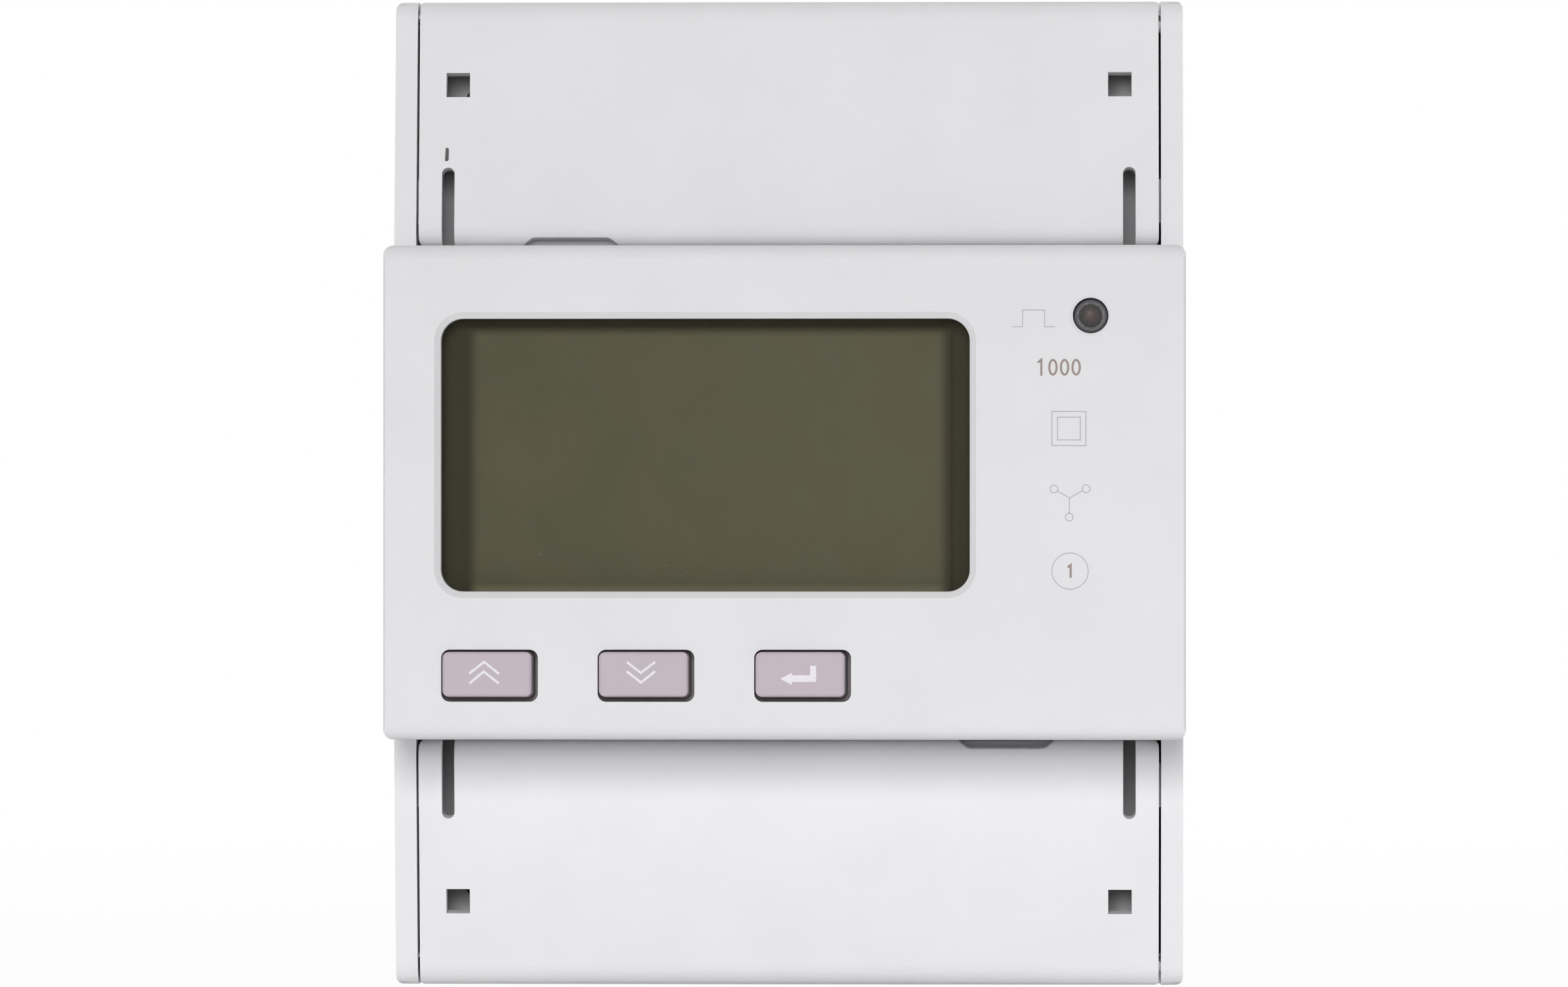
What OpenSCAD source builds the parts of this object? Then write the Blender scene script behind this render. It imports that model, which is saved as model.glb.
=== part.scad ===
// Four-module energy meter that clips to a 35 mm rail, as separate pieces.
// X runs to the right, Z runs up and the front faces -Y.
// The origin is the middle of the plane on which the rail's front face seats.

/* [Body] */
// Width across the side walls
body_w = 72; // [71:0.5:90]
// Height from end to end
body_h = 90; // [89:0.5:110]
// Distance from the rail seat forward to the side walls' front edges
shoulder_depth = 46; // [44:0.5:52]
// Distance that the rear pads stand behind the rail seat
pad_depth = 6; // [5.5:0.25:10]
// Thickness of the side walls
side_wall = 2; // [1.6:0.1:2.6]
// Thickness of the end walls
end_wall = 2; // [1.5:0.1:3]
// Thickness of the floor behind the works
floor_wall = 2.5; // [2:0.1:4]
// Thickness of the ribs of the rear pads
pad_rib = 2; // [1.5:0.1:3]
// Corner radius of the outline seen from the front
corner_r = 0.7; // [0.3:0.1:1.5]
// Clearance between pieces that are put together by hand
fit = 0.2; // [0.1:0.05:0.4]

/* [Rail] */
// Height of the rail across its flanges
rail_h = 35; // [34:0.5:36]
// Thickness of the rail's flanges
rail_t = 1; // [0.8:0.1:1.5]
// Play of the rail in its channel
rail_gap = 0.3; // [0.1:0.05:0.6]
// Distance that the hooks reach behind the flange
hook_reach = 1.6; // [1:0.1:2.5]
// Thickness of the hooks
hook_t = 2.2; // [1.5:0.1:3]
// Width of one fixed hook
hook_w = 16; // [8:1:20]
// Distance between the middles of the fixed hooks
hook_spread = 46; // [30:1:50]

/* [Front panel] */
// Height of the panel
panel_h = 44.4; // [43.5:0.1:46]
// Distance from the side walls' front edges forward to the panel's face
panel_rise = 14; // [13:0.5:24]
// Thickness of the panel's walls
panel_wall = 2; // [1.6:0.1:2.4]
// Radius of the panel's corners seen from the front
panel_r = 0.9; // [0.4:0.1:1.4]
// Radius of the panel's upper and lower front edges
panel_edge_r = 1.4; // [0.4:0.1:1.6]
// Radius of the panel's front edges at the sides
panel_side_r = 0.3; // [0.2:0.05:0.8]
// Depth of the panel's skirts inside the base
skirt = 5; // [3:0.5:6]
// Width of one snap tongue
snap_w = 10; // [6:0.5:14]
// Length of the snap tongues past the side walls' edges
snap_l = 6; // [5:0.5:9]
// Thickness of the snap tongues
snap_t = 1.4; // [1:0.1:2]
// Height of the catch on a snap tongue
catch_h = 2; // [1.2:0.1:3]
// Distance that the catch reaches into the side wall
catch_reach = 1; // [0.6:0.1:1.4]
// Distance of the snap tongues above and below the middle
snap_z = 10; // [8:0.5:14]

/* [Display window] */
// Width of the window
window_w = 47.5; // [44:0.5:49]
// Height of the window
window_h = 24.5; // [20:0.5:25]
// Corner radius of the window
window_r = 2; // [0.8:0.1:3]
// Distance from the panel's left edge to the window
window_left = 5.15; // [4.8:0.05:8]
// Distance from the panel's top edge to the window
window_top = 6.6; // [6.3:0.1:8]
// Width of the bevel round the window
window_bevel = 0.57; // [0.2:0.01:0.9]
// Depth of the bevel round the window
window_bevel_t = 0.42; // [0.1:0.01:0.5]
// Depth of the window's face below the panel's face
lens_step = 0.6; // [0.3:0.05:1]
// Distance that the window's flange reaches past the opening
lens_flange = 0.9; // [0.5:0.1:1.2]
// Thickness of the window's flange
lens_flange_t = 0.8; // [0.6:0.1:1.5]

/* [Display] */
// Gap between the window and the display cell
lcd_gap = 0.6; // [0.4:0.05:1.5]
// Thickness of the display cell
cell_t = 2.2; // [1.6:0.1:3]
// Distance that the cell reaches past the window
cell_over = 0.9; // [0.4:0.1:1]
// Thickness of the polariser
polariser_t = 0.2; // [0.1:0.05:0.3]
// Dark border at the left of the polariser
border_left = 2.1; // [1:0.05:4]
// Dark border at the right of the polariser
border_right = 1.65; // [1:0.05:4]
// Dark border above the polariser
border_top = 0.7; // [0.4:0.05:3]
// Thickness of the backlight
backlight_t = 2.4; // [1.6:0.1:4]
// Thickness of the display holder
holder_t = 2; // [1.5:0.1:4]
// Width of the holder's frame
holder_frame = 3; // [2:0.5:6]
// Distance between the display's contact pins
pin_pitch = 2.54; // [2:0.01:4]
// Side of one contact pin
pin_w = 0.5; // [0.3:0.05:0.7]

/* [Keys] */
// Width of a key
key_w = 8; // [7:0.1:8.6]
// Height of a key
key_h = 4; // [3.4:0.1:4.4]
// Corner radius of a key
key_r = 0.6; // [0.3:0.1:1.2]
// Radius of the edge of a key's face
key_edge_r = 0.35; // [0.1:0.05:0.6]
// Distance by which a key widens to the right and downwards towards its flange
key_draft = 0.22; // [0:0.02:0.24]
// Gap at the left of a key
key_gap_left = 0.13; // [0.1:0.01:0.6]
// Gap at the right of a key
key_gap_right = 0.56; // [0.1:0.01:0.6]
// Gap above a key
key_gap_top = 0.2; // [0.1:0.01:0.5]
// Gap below a key
key_gap_bottom = 0.48; // [0.1:0.01:0.5]
// Distance between the holes of two keys
key_spacing = 5.36; // [5:0.02:6]
// Distance from the panel's left edge to the first key's hole
key_left = 5.22; // [5:0.02:7]
// Distance from the panel's bottom edge to the keys' holes
key_bottom = 3.42; // [3.1:0.02:3.8]
// Distance that the keys stand proud of the panel
key_proud = 0.6; // [0.55:0.05:1.2]
// Travel of a key
key_travel = 0.5; // [0.2:0.05:0.55]
// Distance that a key's flange reaches past its hole
key_flange = 0.35; // [0.3:0.05:0.6]
// Thickness of a key's flange
key_flange_t = 1; // [0.6:0.1:1.4]
// Clearance between a key's flange and the panel
key_rest_gap = 0.3; // [0.2:0.05:0.5]
// Side of a key switch
switch_w = 6; // [5:0.1:7]
// Height of a key switch
switch_h = 3.5; // [2.5:0.1:4]
// Radius of a switch plunger
plunger_r = 1.75; // [1:0.05:2]
// Distance that a plunger stands out of its switch
plunger_h = 1; // [0.8:0.05:1.5]

/* [Pulse lamp] */
// Radius of the lamp
led_r = 1.5; // [1:0.05:1.6]
// Gap between the lamp and its hole
led_gap = 0.1; // [0.05:0.01:0.3]
// Width of the bevel round the lamp's hole
led_bevel = 0.33; // [0.1:0.01:0.6]
// Depth of the bevel round the lamp's hole
led_bevel_t = 0.1; // [0.05:0.05:0.5]
// Depth of the lamp's tip below the panel's face
led_sink = 0.9; // [0.2:0.05:1.5]
// Length of the lamp's round body
led_l = 3.5; // [3:0.1:4.5]
// Thickness of the lamp's foot
led_foot = 1; // [0.6:0.1:1.4]
// Distance from the panel's right edge to the lamp's middle
led_right = 8.52; // [7:0.02:10]
// Distance from the panel's top edge to the lamp's middle
led_top = 6.36; // [6:0.02:9]

/* [Boards] */
// Thickness of the circuit boards
board_t = 1.6; // [1:0.1:2]
// Clearance between a board's edges and the walls
board_edge = 0.6; // [0.3:0.1:1]
// Distance from the side walls' front edges back to the measuring board
board_inset = 10; // [9.4:0.1:10.4]
// Radius of the bosses and posts that carry the boards
boss_r = 1.6; // [1.4:0.1:1.8]
// Radius of the board screws
board_screw_r = 0.9; // [0.7:0.05:1]
// Radius of the board screws' heads
board_head_r = 1.7; // [1.4:0.1:2]
// Height of the board screws' heads
board_head_h = 1.2; // [0.8:0.1:1.6]
// Length of the board screws below the board
board_screw_l = 5; // [3:0.5:6]
// Number of pins in the board header
header_pins_n = 8; // [4:1:10]
// Height of the header on the display board
header_h = 2.5; // [2:0.1:4]
// Depth of the header's pins in the socket
header_reach = 5; // [3:0.5:7]

/* [Parts on the boards] */
// Side of the two main chips
chip_w = 10; // [7:0.5:12]
// Height of the chips
chip_h = 1.4; // [1:0.1:2]
// Radius of the backup battery
battery_r = 6.2; // [5:0.1:7]
// Height of the backup battery
battery_h = 2.6; // [2:0.1:3]
// Side of the transformer's core
core_w = 18; // [14:0.5:20]
// Height of the transformer's core
core_h = 6; // [4:0.5:8]
// Width of the transformer's winding
winding_w = 12; // [8:0.5:13]
// Room between the transformer and the display board
winding_room = 2.9; // [2:0.1:3.4]
// Radius of the filter capacitors
capacitor_r = 4; // [3:0.1:4.5]
// Room between the filter capacitors and the chips in front of them
capacitor_room = 0.5; // [0.3:0.1:2]
// Radius of the surge varistors
varistor_r = 4; // [3:0.1:4.4]
// Thickness of the surge varistors
varistor_t = 3; // [2:0.1:4]

/* [Terminals] */
// Distance between two clamp cages
cage_space = 3.4; // [2.6:0.1:4.2]
// Length of a clamp cage along the wire
cage_l = 8.5; // [7.8:0.1:9.5]
// Thickness of a cage's side walls
cage_wall = 0.9; // [0.6:0.05:1.1]
// Thickness of a cage's threaded wall
cage_nut = 2.4; // [1.6:0.1:3]
// Thickness of a cage's floor
cage_floor = 1.2; // [0.8:0.1:2]
// Clearance round a cage
cage_gap = 0.25; // [0.15:0.05:0.4]
// Room for the wire in an open cage
wire_gap = 10; // [9:0.1:12]
// Radius of the wire entries
wire_r = 4.6; // [4:0.1:4.9]
// Thickness of the terminal block at the wire entries
entry_t = 3.6; // [2:0.1:5]
// Thickness of the terminal block's front plate
plate_t = 1.4; // [1:0.1:1.5]
// Thickness of the lip that closes the gap behind a cover's edge
lip_t = 1.4; // [1:0.1:1.6]
// Pitch of the terminal screws' thread
thread_pitch = 0.8; // [0.5:0.05:0.85]
// Turns of a terminal screw from open to closed
clamp_turns = 8; // [6:0.5:8.5]
// Radius of the terminal screws
screw_r = 2.5; // [2:0.1:2.6]
// Clearance of the screw in the cage's thread
thread_gap = 0.05; // [0.02:0.01:0.1]
// Radius of the terminal screws' heads
head_r = 3.3; // [2.9:0.1:3.5]
// Height of the terminal screws' heads
head_h = 2.6; // [2:0.1:3]
// Clearance round the heads in the front plate
head_gap = 0.4; // [0.2:0.05:0.45]
// Depth of the heads below the front plate's face
head_sink = 1.6; // [1.2:0.1:2.2]
// Width of the slots in the heads
drive_w = 1.1; // [0.8:0.1:1.4]
// Depth of the slots in the heads
drive_depth = 1.3; // [0.8:0.1:1.7]

/* [Power path] */
// Distance from the side walls' front edges back to the busbars
bar_inset = 21.6; // [21:0.1:22.5]
// Distance between two busbars
bar_space = 6.4; // [6.2:0.1:7.6]
// Thickness of a busbar
bar_t = 2.5; // [2:0.1:3]
// Length of the current transformers along the busbars
ct_l = 9; // [6:0.5:12]
// Gap between two current transformers
ct_gap = 0.4; // [0.2:0.1:1]
// Clearance of the busbar in a current transformer
ct_clear = 0.25; // [0.1:0.05:0.4]
// Radius of the voltage taps
tap_r = 0.75; // [0.5:0.05:1.2]
// Height of the voltage taps above the middle
tap_z = 14; // [9:0.5:18]

/* [Signal socket] */
// Width of the signal socket
socket_w = 11; // [9:0.1:11.2]
// Room at each side of the signal socket
socket_room = 0.8; // [0.4:0.1:1.2]
// Height of the signal socket
socket_h = 8.5; // [7.5:0.1:10]
// Length of the signal socket
socket_l = 13; // [12:0.1:15]
// Thickness of the socket's walls
socket_wall = 1; // [0.8:0.1:1.3]
// Thickness of the socket's back
socket_back = 2; // [1.5:0.1:3]
// Length of the signal pins inside the socket
signal_pin_l = 5; // [3:0.5:6]
// Side of a signal pin
signal_pin_w = 0.8; // [0.5:0.1:1]
// Distance between the signal pins
signal_pitch = 2.2; // [2:0.1:2.5]

/* [Terminal covers] */
// Lean of the covers towards the ends, in degrees
cover_slope = 6.6; // [4:0.1:9]
// Thickness of a cover
cover_t = 2; // [1.6:0.1:2.4]
// Gap between a cover and the side walls
cover_gap = 0.22; // [0.15:0.01:0.4]
// Gap between a cover and the front panel
cover_panel_gap = 0.3; // [0.2:0.05:0.6]
// Radius of a cover's edge by the front panel
cover_edge_r = 1.7; // [0.6:0.1:1.9]
// Radius of a cover's corners seen from the front
cover_corner_r = 0.5; // [0.2:0.1:1]
// Radius of a cover's hinge barrel
barrel_r = 2; // [1.8:0.1:2.6]
// Radius of the hinge pins
pin_r = 0.9; // [0.6:0.1:1.1]
// Clearance of the hinge pins in the barrels
pin_gap = 0.05; // [0.02:0.01:0.1]
// Length of the hinge pins
pin_l = 1.8; // [1.2:0.1:3]
// Clearance round a hinge barrel
barrel_gap = 0.3; // [0.2:0.05:0.5]
// Distance from a cover's side to the middle of its slot
slot_inset = 2.68; // [2:0.02:4]
// Width of the slots that free a cover's snap arms
slot_w = 1.15; // [0.8:0.05:1.5]
// Length of the slots
slot_l = 7.05; // [5:0.05:9]
// Distance from a cover's side to the middle of its square hole
hole_inset = 3.53; // [2:0.01:6]
// Width of the square holes for a seal
hole_w = 2.15; // [1.5:0.05:3]
// Height of the square holes for a seal
hole_h = 2.25; // [1.5:0.05:2.4]
// Distance from the hinge axis to the middle of the square holes
hole_drop = 5.95; // [5:0.05:8]
// Distance from a cover's side to the middle of its pry notch
notch_inset = 13.9; // [8:0.1:30]
// Width of the pry notch
notch_w = 8.9; // [6:0.1:12]
// Depth of the pry notch
notch_depth = 0.65; // [0.4:0.05:1.4]
// Slant of the pry notch's ends
notch_slant = 0.95; // [0.3:0.05:2]
// Radius of the pry notch's corners
notch_r = 0.9; // [0.3:0.1:1.5]
// Width of the ledges that stop the covers
ledge_w = 1.4; // [0.8:0.1:1.8]
// Length of the ledges that stop the covers
ledge_l = 4; // [2:0.5:8]
// Thickness of the ledges that stop the covers
ledge_t = 1.6; // [1:0.1:3]
// Distance from the panel to the ledges
ledge_up = 2.5; // [2.3:0.1:4]

/* [Rail clip] */
// Width of the clip's plate
clip_w = 24; // [18:0.5:26]
// Thickness of the clip's plate
clip_t = 5; // [4.6:0.1:5.2]
// Clearance round the clip
clip_gap = 0.3; // [0.2:0.05:0.5]
// Distance that the clip's nose reaches behind the flange
clip_reach = 1.6; // [1:0.1:2.4]
// Width of the tongues that run in the pads
tongue_w = 1.1; // [0.8:0.1:1.6]
// Thickness of the tongues that run in the pads
tongue_t = 1.2; // [0.8:0.1:1.8]
// Length of the solid stretch above the spring
clip_head = 8; // [5:0.5:9]
// Width of the slot for a screwdriver
pry_w = 7; // [5:0.5:12]
// Height of the slot for a screwdriver
pry_h = 1.6; // [1:0.1:2]
// Length of the clip below the screwdriver slot
pry_edge = 1.6; // [1:0.1:2.2]
// Outer radius of the spring
spring_r = 2; // [1.6:0.05:2.1]
// Radius of the spring's wire
wire_thick_r = 0.25; // [0.15:0.01:0.3]
// Length of the spring at rest
spring_l = 10; // [9:0.1:11]
// Turns of the spring
spring_turns = 6; // [4:1:7]
// Room between the spring and the clip at its sides
spring_room = 0.4; // [0.3:0.05:0.6]
// Thickness of the tab that the spring stands on
tab_t = 2; // [1.5:0.1:2.6]

/* [Hidden] */
$fn = 64;
eps = 0.02;
far = 200;

// The body's planes
half_w = body_w / 2;
half_h = body_h / 2;
inner_half = half_w - side_wall;
bay_half_h = half_h - end_wall;
panel_half_h = panel_h / 2;
floor_y = -floor_wall;
channel_half = rail_h / 2 + rail_gap;

// The front panel's inside
panel_depth = shoulder_depth + panel_rise;
panel_in_y = -panel_depth + panel_wall;
panel_in_x = half_w - panel_wall;
panel_in_z = panel_half_h - panel_wall;
window_x = -half_w + window_left + window_w / 2;
window_z = panel_half_h - window_top - window_h / 2;
led_x = half_w - led_right;
led_z = panel_half_h - led_top;
snap_root = 2;

// The display stack, from the window back to the board
lens_back = panel_in_y + lens_flange_t;
cell_front = lens_back + lcd_gap;
cell_back = cell_front + cell_t;
backlight_back = cell_back + backlight_t;
display_front = backlight_back + holder_t;
display_back = display_front + board_t;
measuring_front = -shoulder_depth + board_inset;
measuring_back = measuring_front + board_t;
cell_w = window_w + 2 * cell_over;
cell_h = window_h + 2 * cell_over;
cell_bottom = window_z - cell_h / 2;
polariser_rim = 0.3;
pin_margin = 2;
pin_step = 0.4;

// The keys
KEYS = ["key_up", "key_down", "key_enter"];
hole_key_w = key_w + key_gap_left + key_gap_right;
hole_key_h = key_h + key_gap_top + key_gap_bottom;
hole_key_r = key_r + (key_gap_left + key_gap_top) / 2;
key_pitch = hole_key_w + key_spacing;
key_first_x = -half_w + key_left + hole_key_w / 2;
key_z = -panel_half_h + key_bottom + hole_key_h / 2;
key_shift_x = (key_gap_left - key_gap_right) / 2;
key_shift_z = (key_gap_bottom - key_gap_top) / 2;
key_back = panel_in_y + key_rest_gap + key_flange_t;
switch_front = display_front - switch_h;
plunger_front = switch_front - plunger_h;
plunger_gap = 0.06;
plunger_base = 0.5;
key_stem_step = 0.25;
key_stem_r = plunger_r - key_stem_step;
function key_x(i) = key_first_x + i * key_pitch;

// The pulse lamp
led_middle = -panel_depth + led_sink + led_r;
led_foot_y = led_middle + led_l;
led_foot_step = 0.4;
led_foot_r = led_r + led_foot_step;
lead_r = 0.25;
lead_x = 0.75;

// Where the boards are screwed down
screw_gap = 0.05;
boss_inset = 0.3;
post_inset = 1.6;
display_half_x = panel_in_x - board_edge;
display_half_z = panel_in_z - board_edge;
boss_x = panel_in_x - boss_r - boss_inset;
boss_z = panel_in_z - boss_r - boss_inset;
boss_low_x = (key_x(0) + key_x(1)) / 2;
BOSSES = [[-boss_x, boss_z], [boss_x, boss_z], [boss_x, -boss_z], [boss_low_x, -boss_z]];
measuring_half_x = inner_half - board_edge;
measuring_half_z = panel_half_h - board_edge;
post_x = inner_half - board_head_r - fit;
post_z = measuring_half_z - boss_r - post_inset;
POSTS = [[-post_x, post_z], [post_x, post_z], [post_x, -post_z], [-post_x, -post_z]];

// Where the parts sit on the boards, in X and Z. Those that belong to an end keep their inset from it.
battery_inset = 13.4;
chip_inset = 9.4;
metering_inset = 13.4;
display_chip_at = [8, 0];
small_chip_at = [display_half_x - chip_inset, 2];
small_chip = [5, 4];
battery_at = [-display_half_x + battery_inset, 5];
battery_rim = 0.4;
battery_step = 1;
metering_chip_at = [-measuring_half_x + metering_inset, -1];
driver_chips_at = [12, -16];
driver_pitch = 7;
DRIVERS = 3;
transformer_at = [18, 6];
transformer_front = display_back + winding_room;
core_lift = 1;
core_leg = 2;
capacitors_at = [2, 4.6];
capacitor_front = display_back + chip_h + capacitor_room;
capacitor_space = 1.4;
varistors_at = [-26, 11];
varistor_space = 1.5;
varistor_lift = 0.3;
header_at = [-4, -12];
header_pitch = 2.54;
header_half_x = header_pins_n * header_pitch / 2;
header_half_z = header_pitch / 2;
header_pin_half = 0.32;
header_pin_clear = 0.1;
header_bottom = 0.5;
header_mid = display_back + header_h;

// The covers' hinges, and the line of the side walls' front edges
tan_slope = tan(cover_slope);
hinge_z = half_h - barrel_r;
hinge_y = -shoulder_depth + (hinge_z - panel_half_h) * tan_slope + barrel_r / cos(cover_slope);
end_front = hinge_y + barrel_r + barrel_gap;
cover_half_w = inner_half - cover_gap;
cover_drop = hinge_z - panel_half_h - cover_panel_gap + (barrel_r - cover_t) * sin(cover_slope);
cover_l = cover_drop / cos(cover_slope);
function wall_front(z) = -shoulder_depth + (z - panel_half_h) * tan_slope;
function cover_inside(z) = wall_front(z) + cover_t / cos(cover_slope);
ledge_z0 = panel_half_h + ledge_up;
ledge_y = cover_inside(ledge_z0 + ledge_l) + fit;

// The terminals, measured at the upper end
POLES = 4;
block_gap = 0.6;
block_x0 = -inner_half + block_gap;
bay_x0 = inner_half - socket_w - 2 * socket_room;
block_x1 = bay_x0 - 2 * fit;
pole_pitch = (block_x1 - block_x0) / POLES;
block_in = panel_half_h + 2 * fit;
block_out = bay_half_h - fit / 2;
cage_w = pole_pitch - cage_space;
chamber_w = cage_w + 2 * cage_gap;
chamber_out = block_out - entry_t;
chamber_in = chamber_out - cage_l - 2 * cage_gap;
screw_z = (chamber_in + chamber_out) / 2;
clamp_travel = thread_pitch * clamp_turns;
bar_w = pole_pitch - bar_space;
bar_front = -shoulder_depth + bar_inset;
bar_back = bar_front + bar_t;
clamp_gap = 0.3;
bar_short = 0.4;
cross_share = 0.6;
cage_in_front = bar_front - clamp_gap;
cage_front = cage_in_front - cage_nut;
cage_floor_in = bar_back + wire_gap;
cage_back = cage_floor_in + cage_floor;
wire_y = (bar_back + cage_floor_in) / 2;
head_back = cage_front - clamp_travel - clamp_gap;
head_front = head_back - head_h;
block_front = head_front - head_sink;
lip_gap = 0.35;
lip_front = cover_inside(block_in + lip_t) + lip_gap;
bar_end = screw_z + cage_l / 2 - bar_short;
function pole_x(i) = block_x0 + (i + 0.5) * pole_pitch;

// The current transformers
bar_middle = (bar_front + bar_back) / 2;
ct_r = (pole_pitch - ct_gap) / 2;
ct_bore_r = norm([bar_w, bar_t]) / 2 + ct_clear;
ct_pin_r = 0.4;
ct_pin_x = ct_r / 2;

// The signal socket's bay
socket_x = (bay_x0 + inner_half) / 2;
socket_y = [measuring_back, measuring_back + socket_h];
socket_z = [-half_h, -half_h + socket_l];
SIGNAL_PINS = 4;
signal_tail = 0.6;

// The rail clip and its spring
clip_y0 = clip_gap;
clip_top = -channel_half - clip_gap;
clip_bottom = -half_h + clip_gap;
nose_y0 = rail_t + clip_gap;
groove_half = clip_w / 2 + clip_gap;
tongue_y = clip_y0 + (clip_t - tongue_t) / 2;
tongue_short_top = 3;
tongue_short_bottom = 5;
tongue_top = clip_top - tongue_short_top;
tongue_bottom = clip_bottom + tongue_short_bottom;
nose_tip = 1;
nose_heel = 0.6;
spring_top = clip_top - clip_head;
tab_top = spring_top - spring_l;
well_half = spring_r + spring_room;
tab_half = spring_r - fit;
spring_y = clip_y0 + clip_t / 2;

// Shapes that the pieces share

// A box between two values on each axis
module block(x, y, z) {
    translate([x[0], y[0], z[0]])
        cube([x[1] - x[0], y[1] - y[0], z[1] - z[0]]);
}

// An outline drawn in X and Z, as a plate between two depths
module slab(y0, y1) {
    translate([0, y1, 0])
        rotate([90, 0, 0])
            linear_extrude(y1 - y0)
                children();
}

// An outline drawn in Y and Z, as a bar between two places along X
module along_x(x0, x1) {
    translate([x0, 0, 0])
        rotate([90, 0, 90])
            linear_extrude(x1 - x0)
                children();
}

module rod_x(y, z, r, x0, x1) {
    translate([x0, y, z])
        rotate([0, 90, 0])
            cylinder(r = r, h = x1 - x0);
}

module rod_y(x, z, r, y0, y1) {
    translate([x, y1, z])
        rotate([90, 0, 0])
            cylinder(r = r, h = y1 - y0);
}

module rod_z(x, y, r, z0, z1) {
    translate([x, y, z0])
        cylinder(r = r, h = z1 - z0);
}

module rounded_rect(w, h, r) {
    square([w - 2 * r, h], center = true);
    square([w, h - 2 * r], center = true);
    for (x = [-1, 1], y = [-1, 1])
        translate([x * (w / 2 - r), y * (h / 2 - r)])
            circle(r);
}

module both_sides() {
    children();
    mirror([1, 0, 0])
        children();
}

module both_ends() {
    children();
    mirror([0, 0, 1])
        children();
}

// A bar's outline with its front at front and two rounded front corners
module round_front(front, back, w, r) {
    translate([front + r, -w / 2])
        square([back - front - r, w]);
    translate([front, -w / 2 + r])
        square([2 * r, w - 2 * r]);
    for (side = [-1, 1])
        translate([front + r, side * (w / 2 - r)])
            circle(r);
}

// A box whose front edges, front edges at the sides and corners are rounded, as a moulded face is
module round_face(w, h, front, back, corner, edge, side) {
    intersection() {
        slab(front, back)
            rounded_rect(w, h, corner);
        along_x(-w / 2, w / 2)
            round_front(front, back, h, edge);
        translate([0, 0, -h / 2])
            linear_extrude(h)
                rotate(90)
                    round_front(front, back, w, side);
    }
}

// The housing's side seen along X, with round corners at the hinges
module side_outline() {
    tangent_y = hinge_y - barrel_r * cos(cover_slope);
    tangent_z = hinge_z + barrel_r * sin(cover_slope);
    polygon([
        [0, half_h], [hinge_y, half_h], [tangent_y, tangent_z], [-shoulder_depth, panel_half_h],
        [-shoulder_depth, -panel_half_h], [tangent_y, -tangent_z], [hinge_y, -half_h], [0, -half_h]]);
    for (end = [-1, 1])
        translate([hinge_y, end * hinge_z])
            circle(barrel_r);
}

// Open pockets between the ribs of a rear pad
module pad_pockets(x0, x1, count, z0, z1) {
    pocket_w = (x1 - x0 - (count - 1) * pad_rib) / count;
    for (i = [0 : count - 1]) {
        left = x0 + i * (pocket_w + pad_rib);
        block([left, left + pocket_w], [0, pad_depth + 1], [z0, z1]);
    }
}

// The base housing

module base_shell() {
    intersection() {
        union() {
            along_x(-half_w, half_w)
                side_outline();
            both_ends()
                block([-half_w, half_w], [-eps, pad_depth], [channel_half, half_h]);
        }
        slab(-far, far)
            rounded_rect(body_w, body_h, corner_r);
    }
}

module base_hollow() {
    block([-inner_half, inner_half], [-far, floor_y], [-bay_half_h, bay_half_h]);
    both_ends()
        block([-inner_half, inner_half], [-far, end_front], [bay_half_h - eps, far]);
}

// The rear pads' pockets, and the way for the rail clip
module base_rear_cuts() {
    pocket_in = channel_half + pad_rib;
    pocket_out = half_h - pad_rib;
    clip_side = groove_half + tongue_w + pad_rib;
    pad_pockets(-inner_half, inner_half, 4, pocket_in, pocket_out);
    both_sides()
        pad_pockets(clip_side, inner_half, 1, -pocket_out, -pocket_in);
    block([-groove_half, groove_half], [0, far], [-far, -channel_half + eps]);
    both_sides()
        block([groove_half - eps, groove_half + tongue_w],
              [tongue_y - clip_gap, tongue_y + tongue_t + clip_gap],
              [-far, -channel_half + eps]);
}

module base_wire_entries() {
    both_ends()
        for (i = [0 : POLES - 1])
            rod_z(pole_x(i), wire_y, wire_r + fit, bay_half_h - 1, far);
    block([socket_x - socket_w / 2 - fit, socket_x + socket_w / 2 + fit],
          [socket_y[0] - fit, socket_y[1] + fit],
          [-far, -bay_half_h + 1]);
}

module base_snap_windows() {
    catch_y = -shoulder_depth + snap_l - catch_h;
    both_sides()
        both_ends()
            block([inner_half - 1, far],
                  [catch_y - fit, catch_y + catch_h + fit],
                  [snap_z - snap_w / 2 - fit, snap_z + snap_w / 2 + fit]);
}

module rail_hooks() {
    hook_y = rail_t + clip_gap;
    for (side = [-1, 1])
        block([side * hook_spread / 2 - hook_w / 2, side * hook_spread / 2 + hook_w / 2],
              [hook_y, hook_y + hook_t],
              [rail_h / 2 - hook_reach, channel_half + eps]);
}

module board_posts() {
    for (post = POSTS)
        difference() {
            rod_y(post[0], post[1], boss_r, measuring_back, floor_y + eps);
            rod_y(post[0], post[1], board_screw_r + screw_gap, measuring_back - 1,
                  measuring_back + board_screw_l + 1);
        }
}

module hinge_pins() {
    both_sides()
        both_ends()
            rod_x(hinge_y, hinge_z, pin_r, inner_half - pin_l, inner_half + eps);
}

module cover_ledges() {
    both_sides()
        both_ends()
            block([inner_half - ledge_w, inner_half + eps],
                  [ledge_y, ledge_y + ledge_t],
                  [ledge_z0, ledge_z0 + ledge_l]);
}

module spring_tab() {
    block([-tab_half, tab_half], [-eps, clip_t - clip_gap], [tab_top - tab_t, tab_top]);
}

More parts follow.
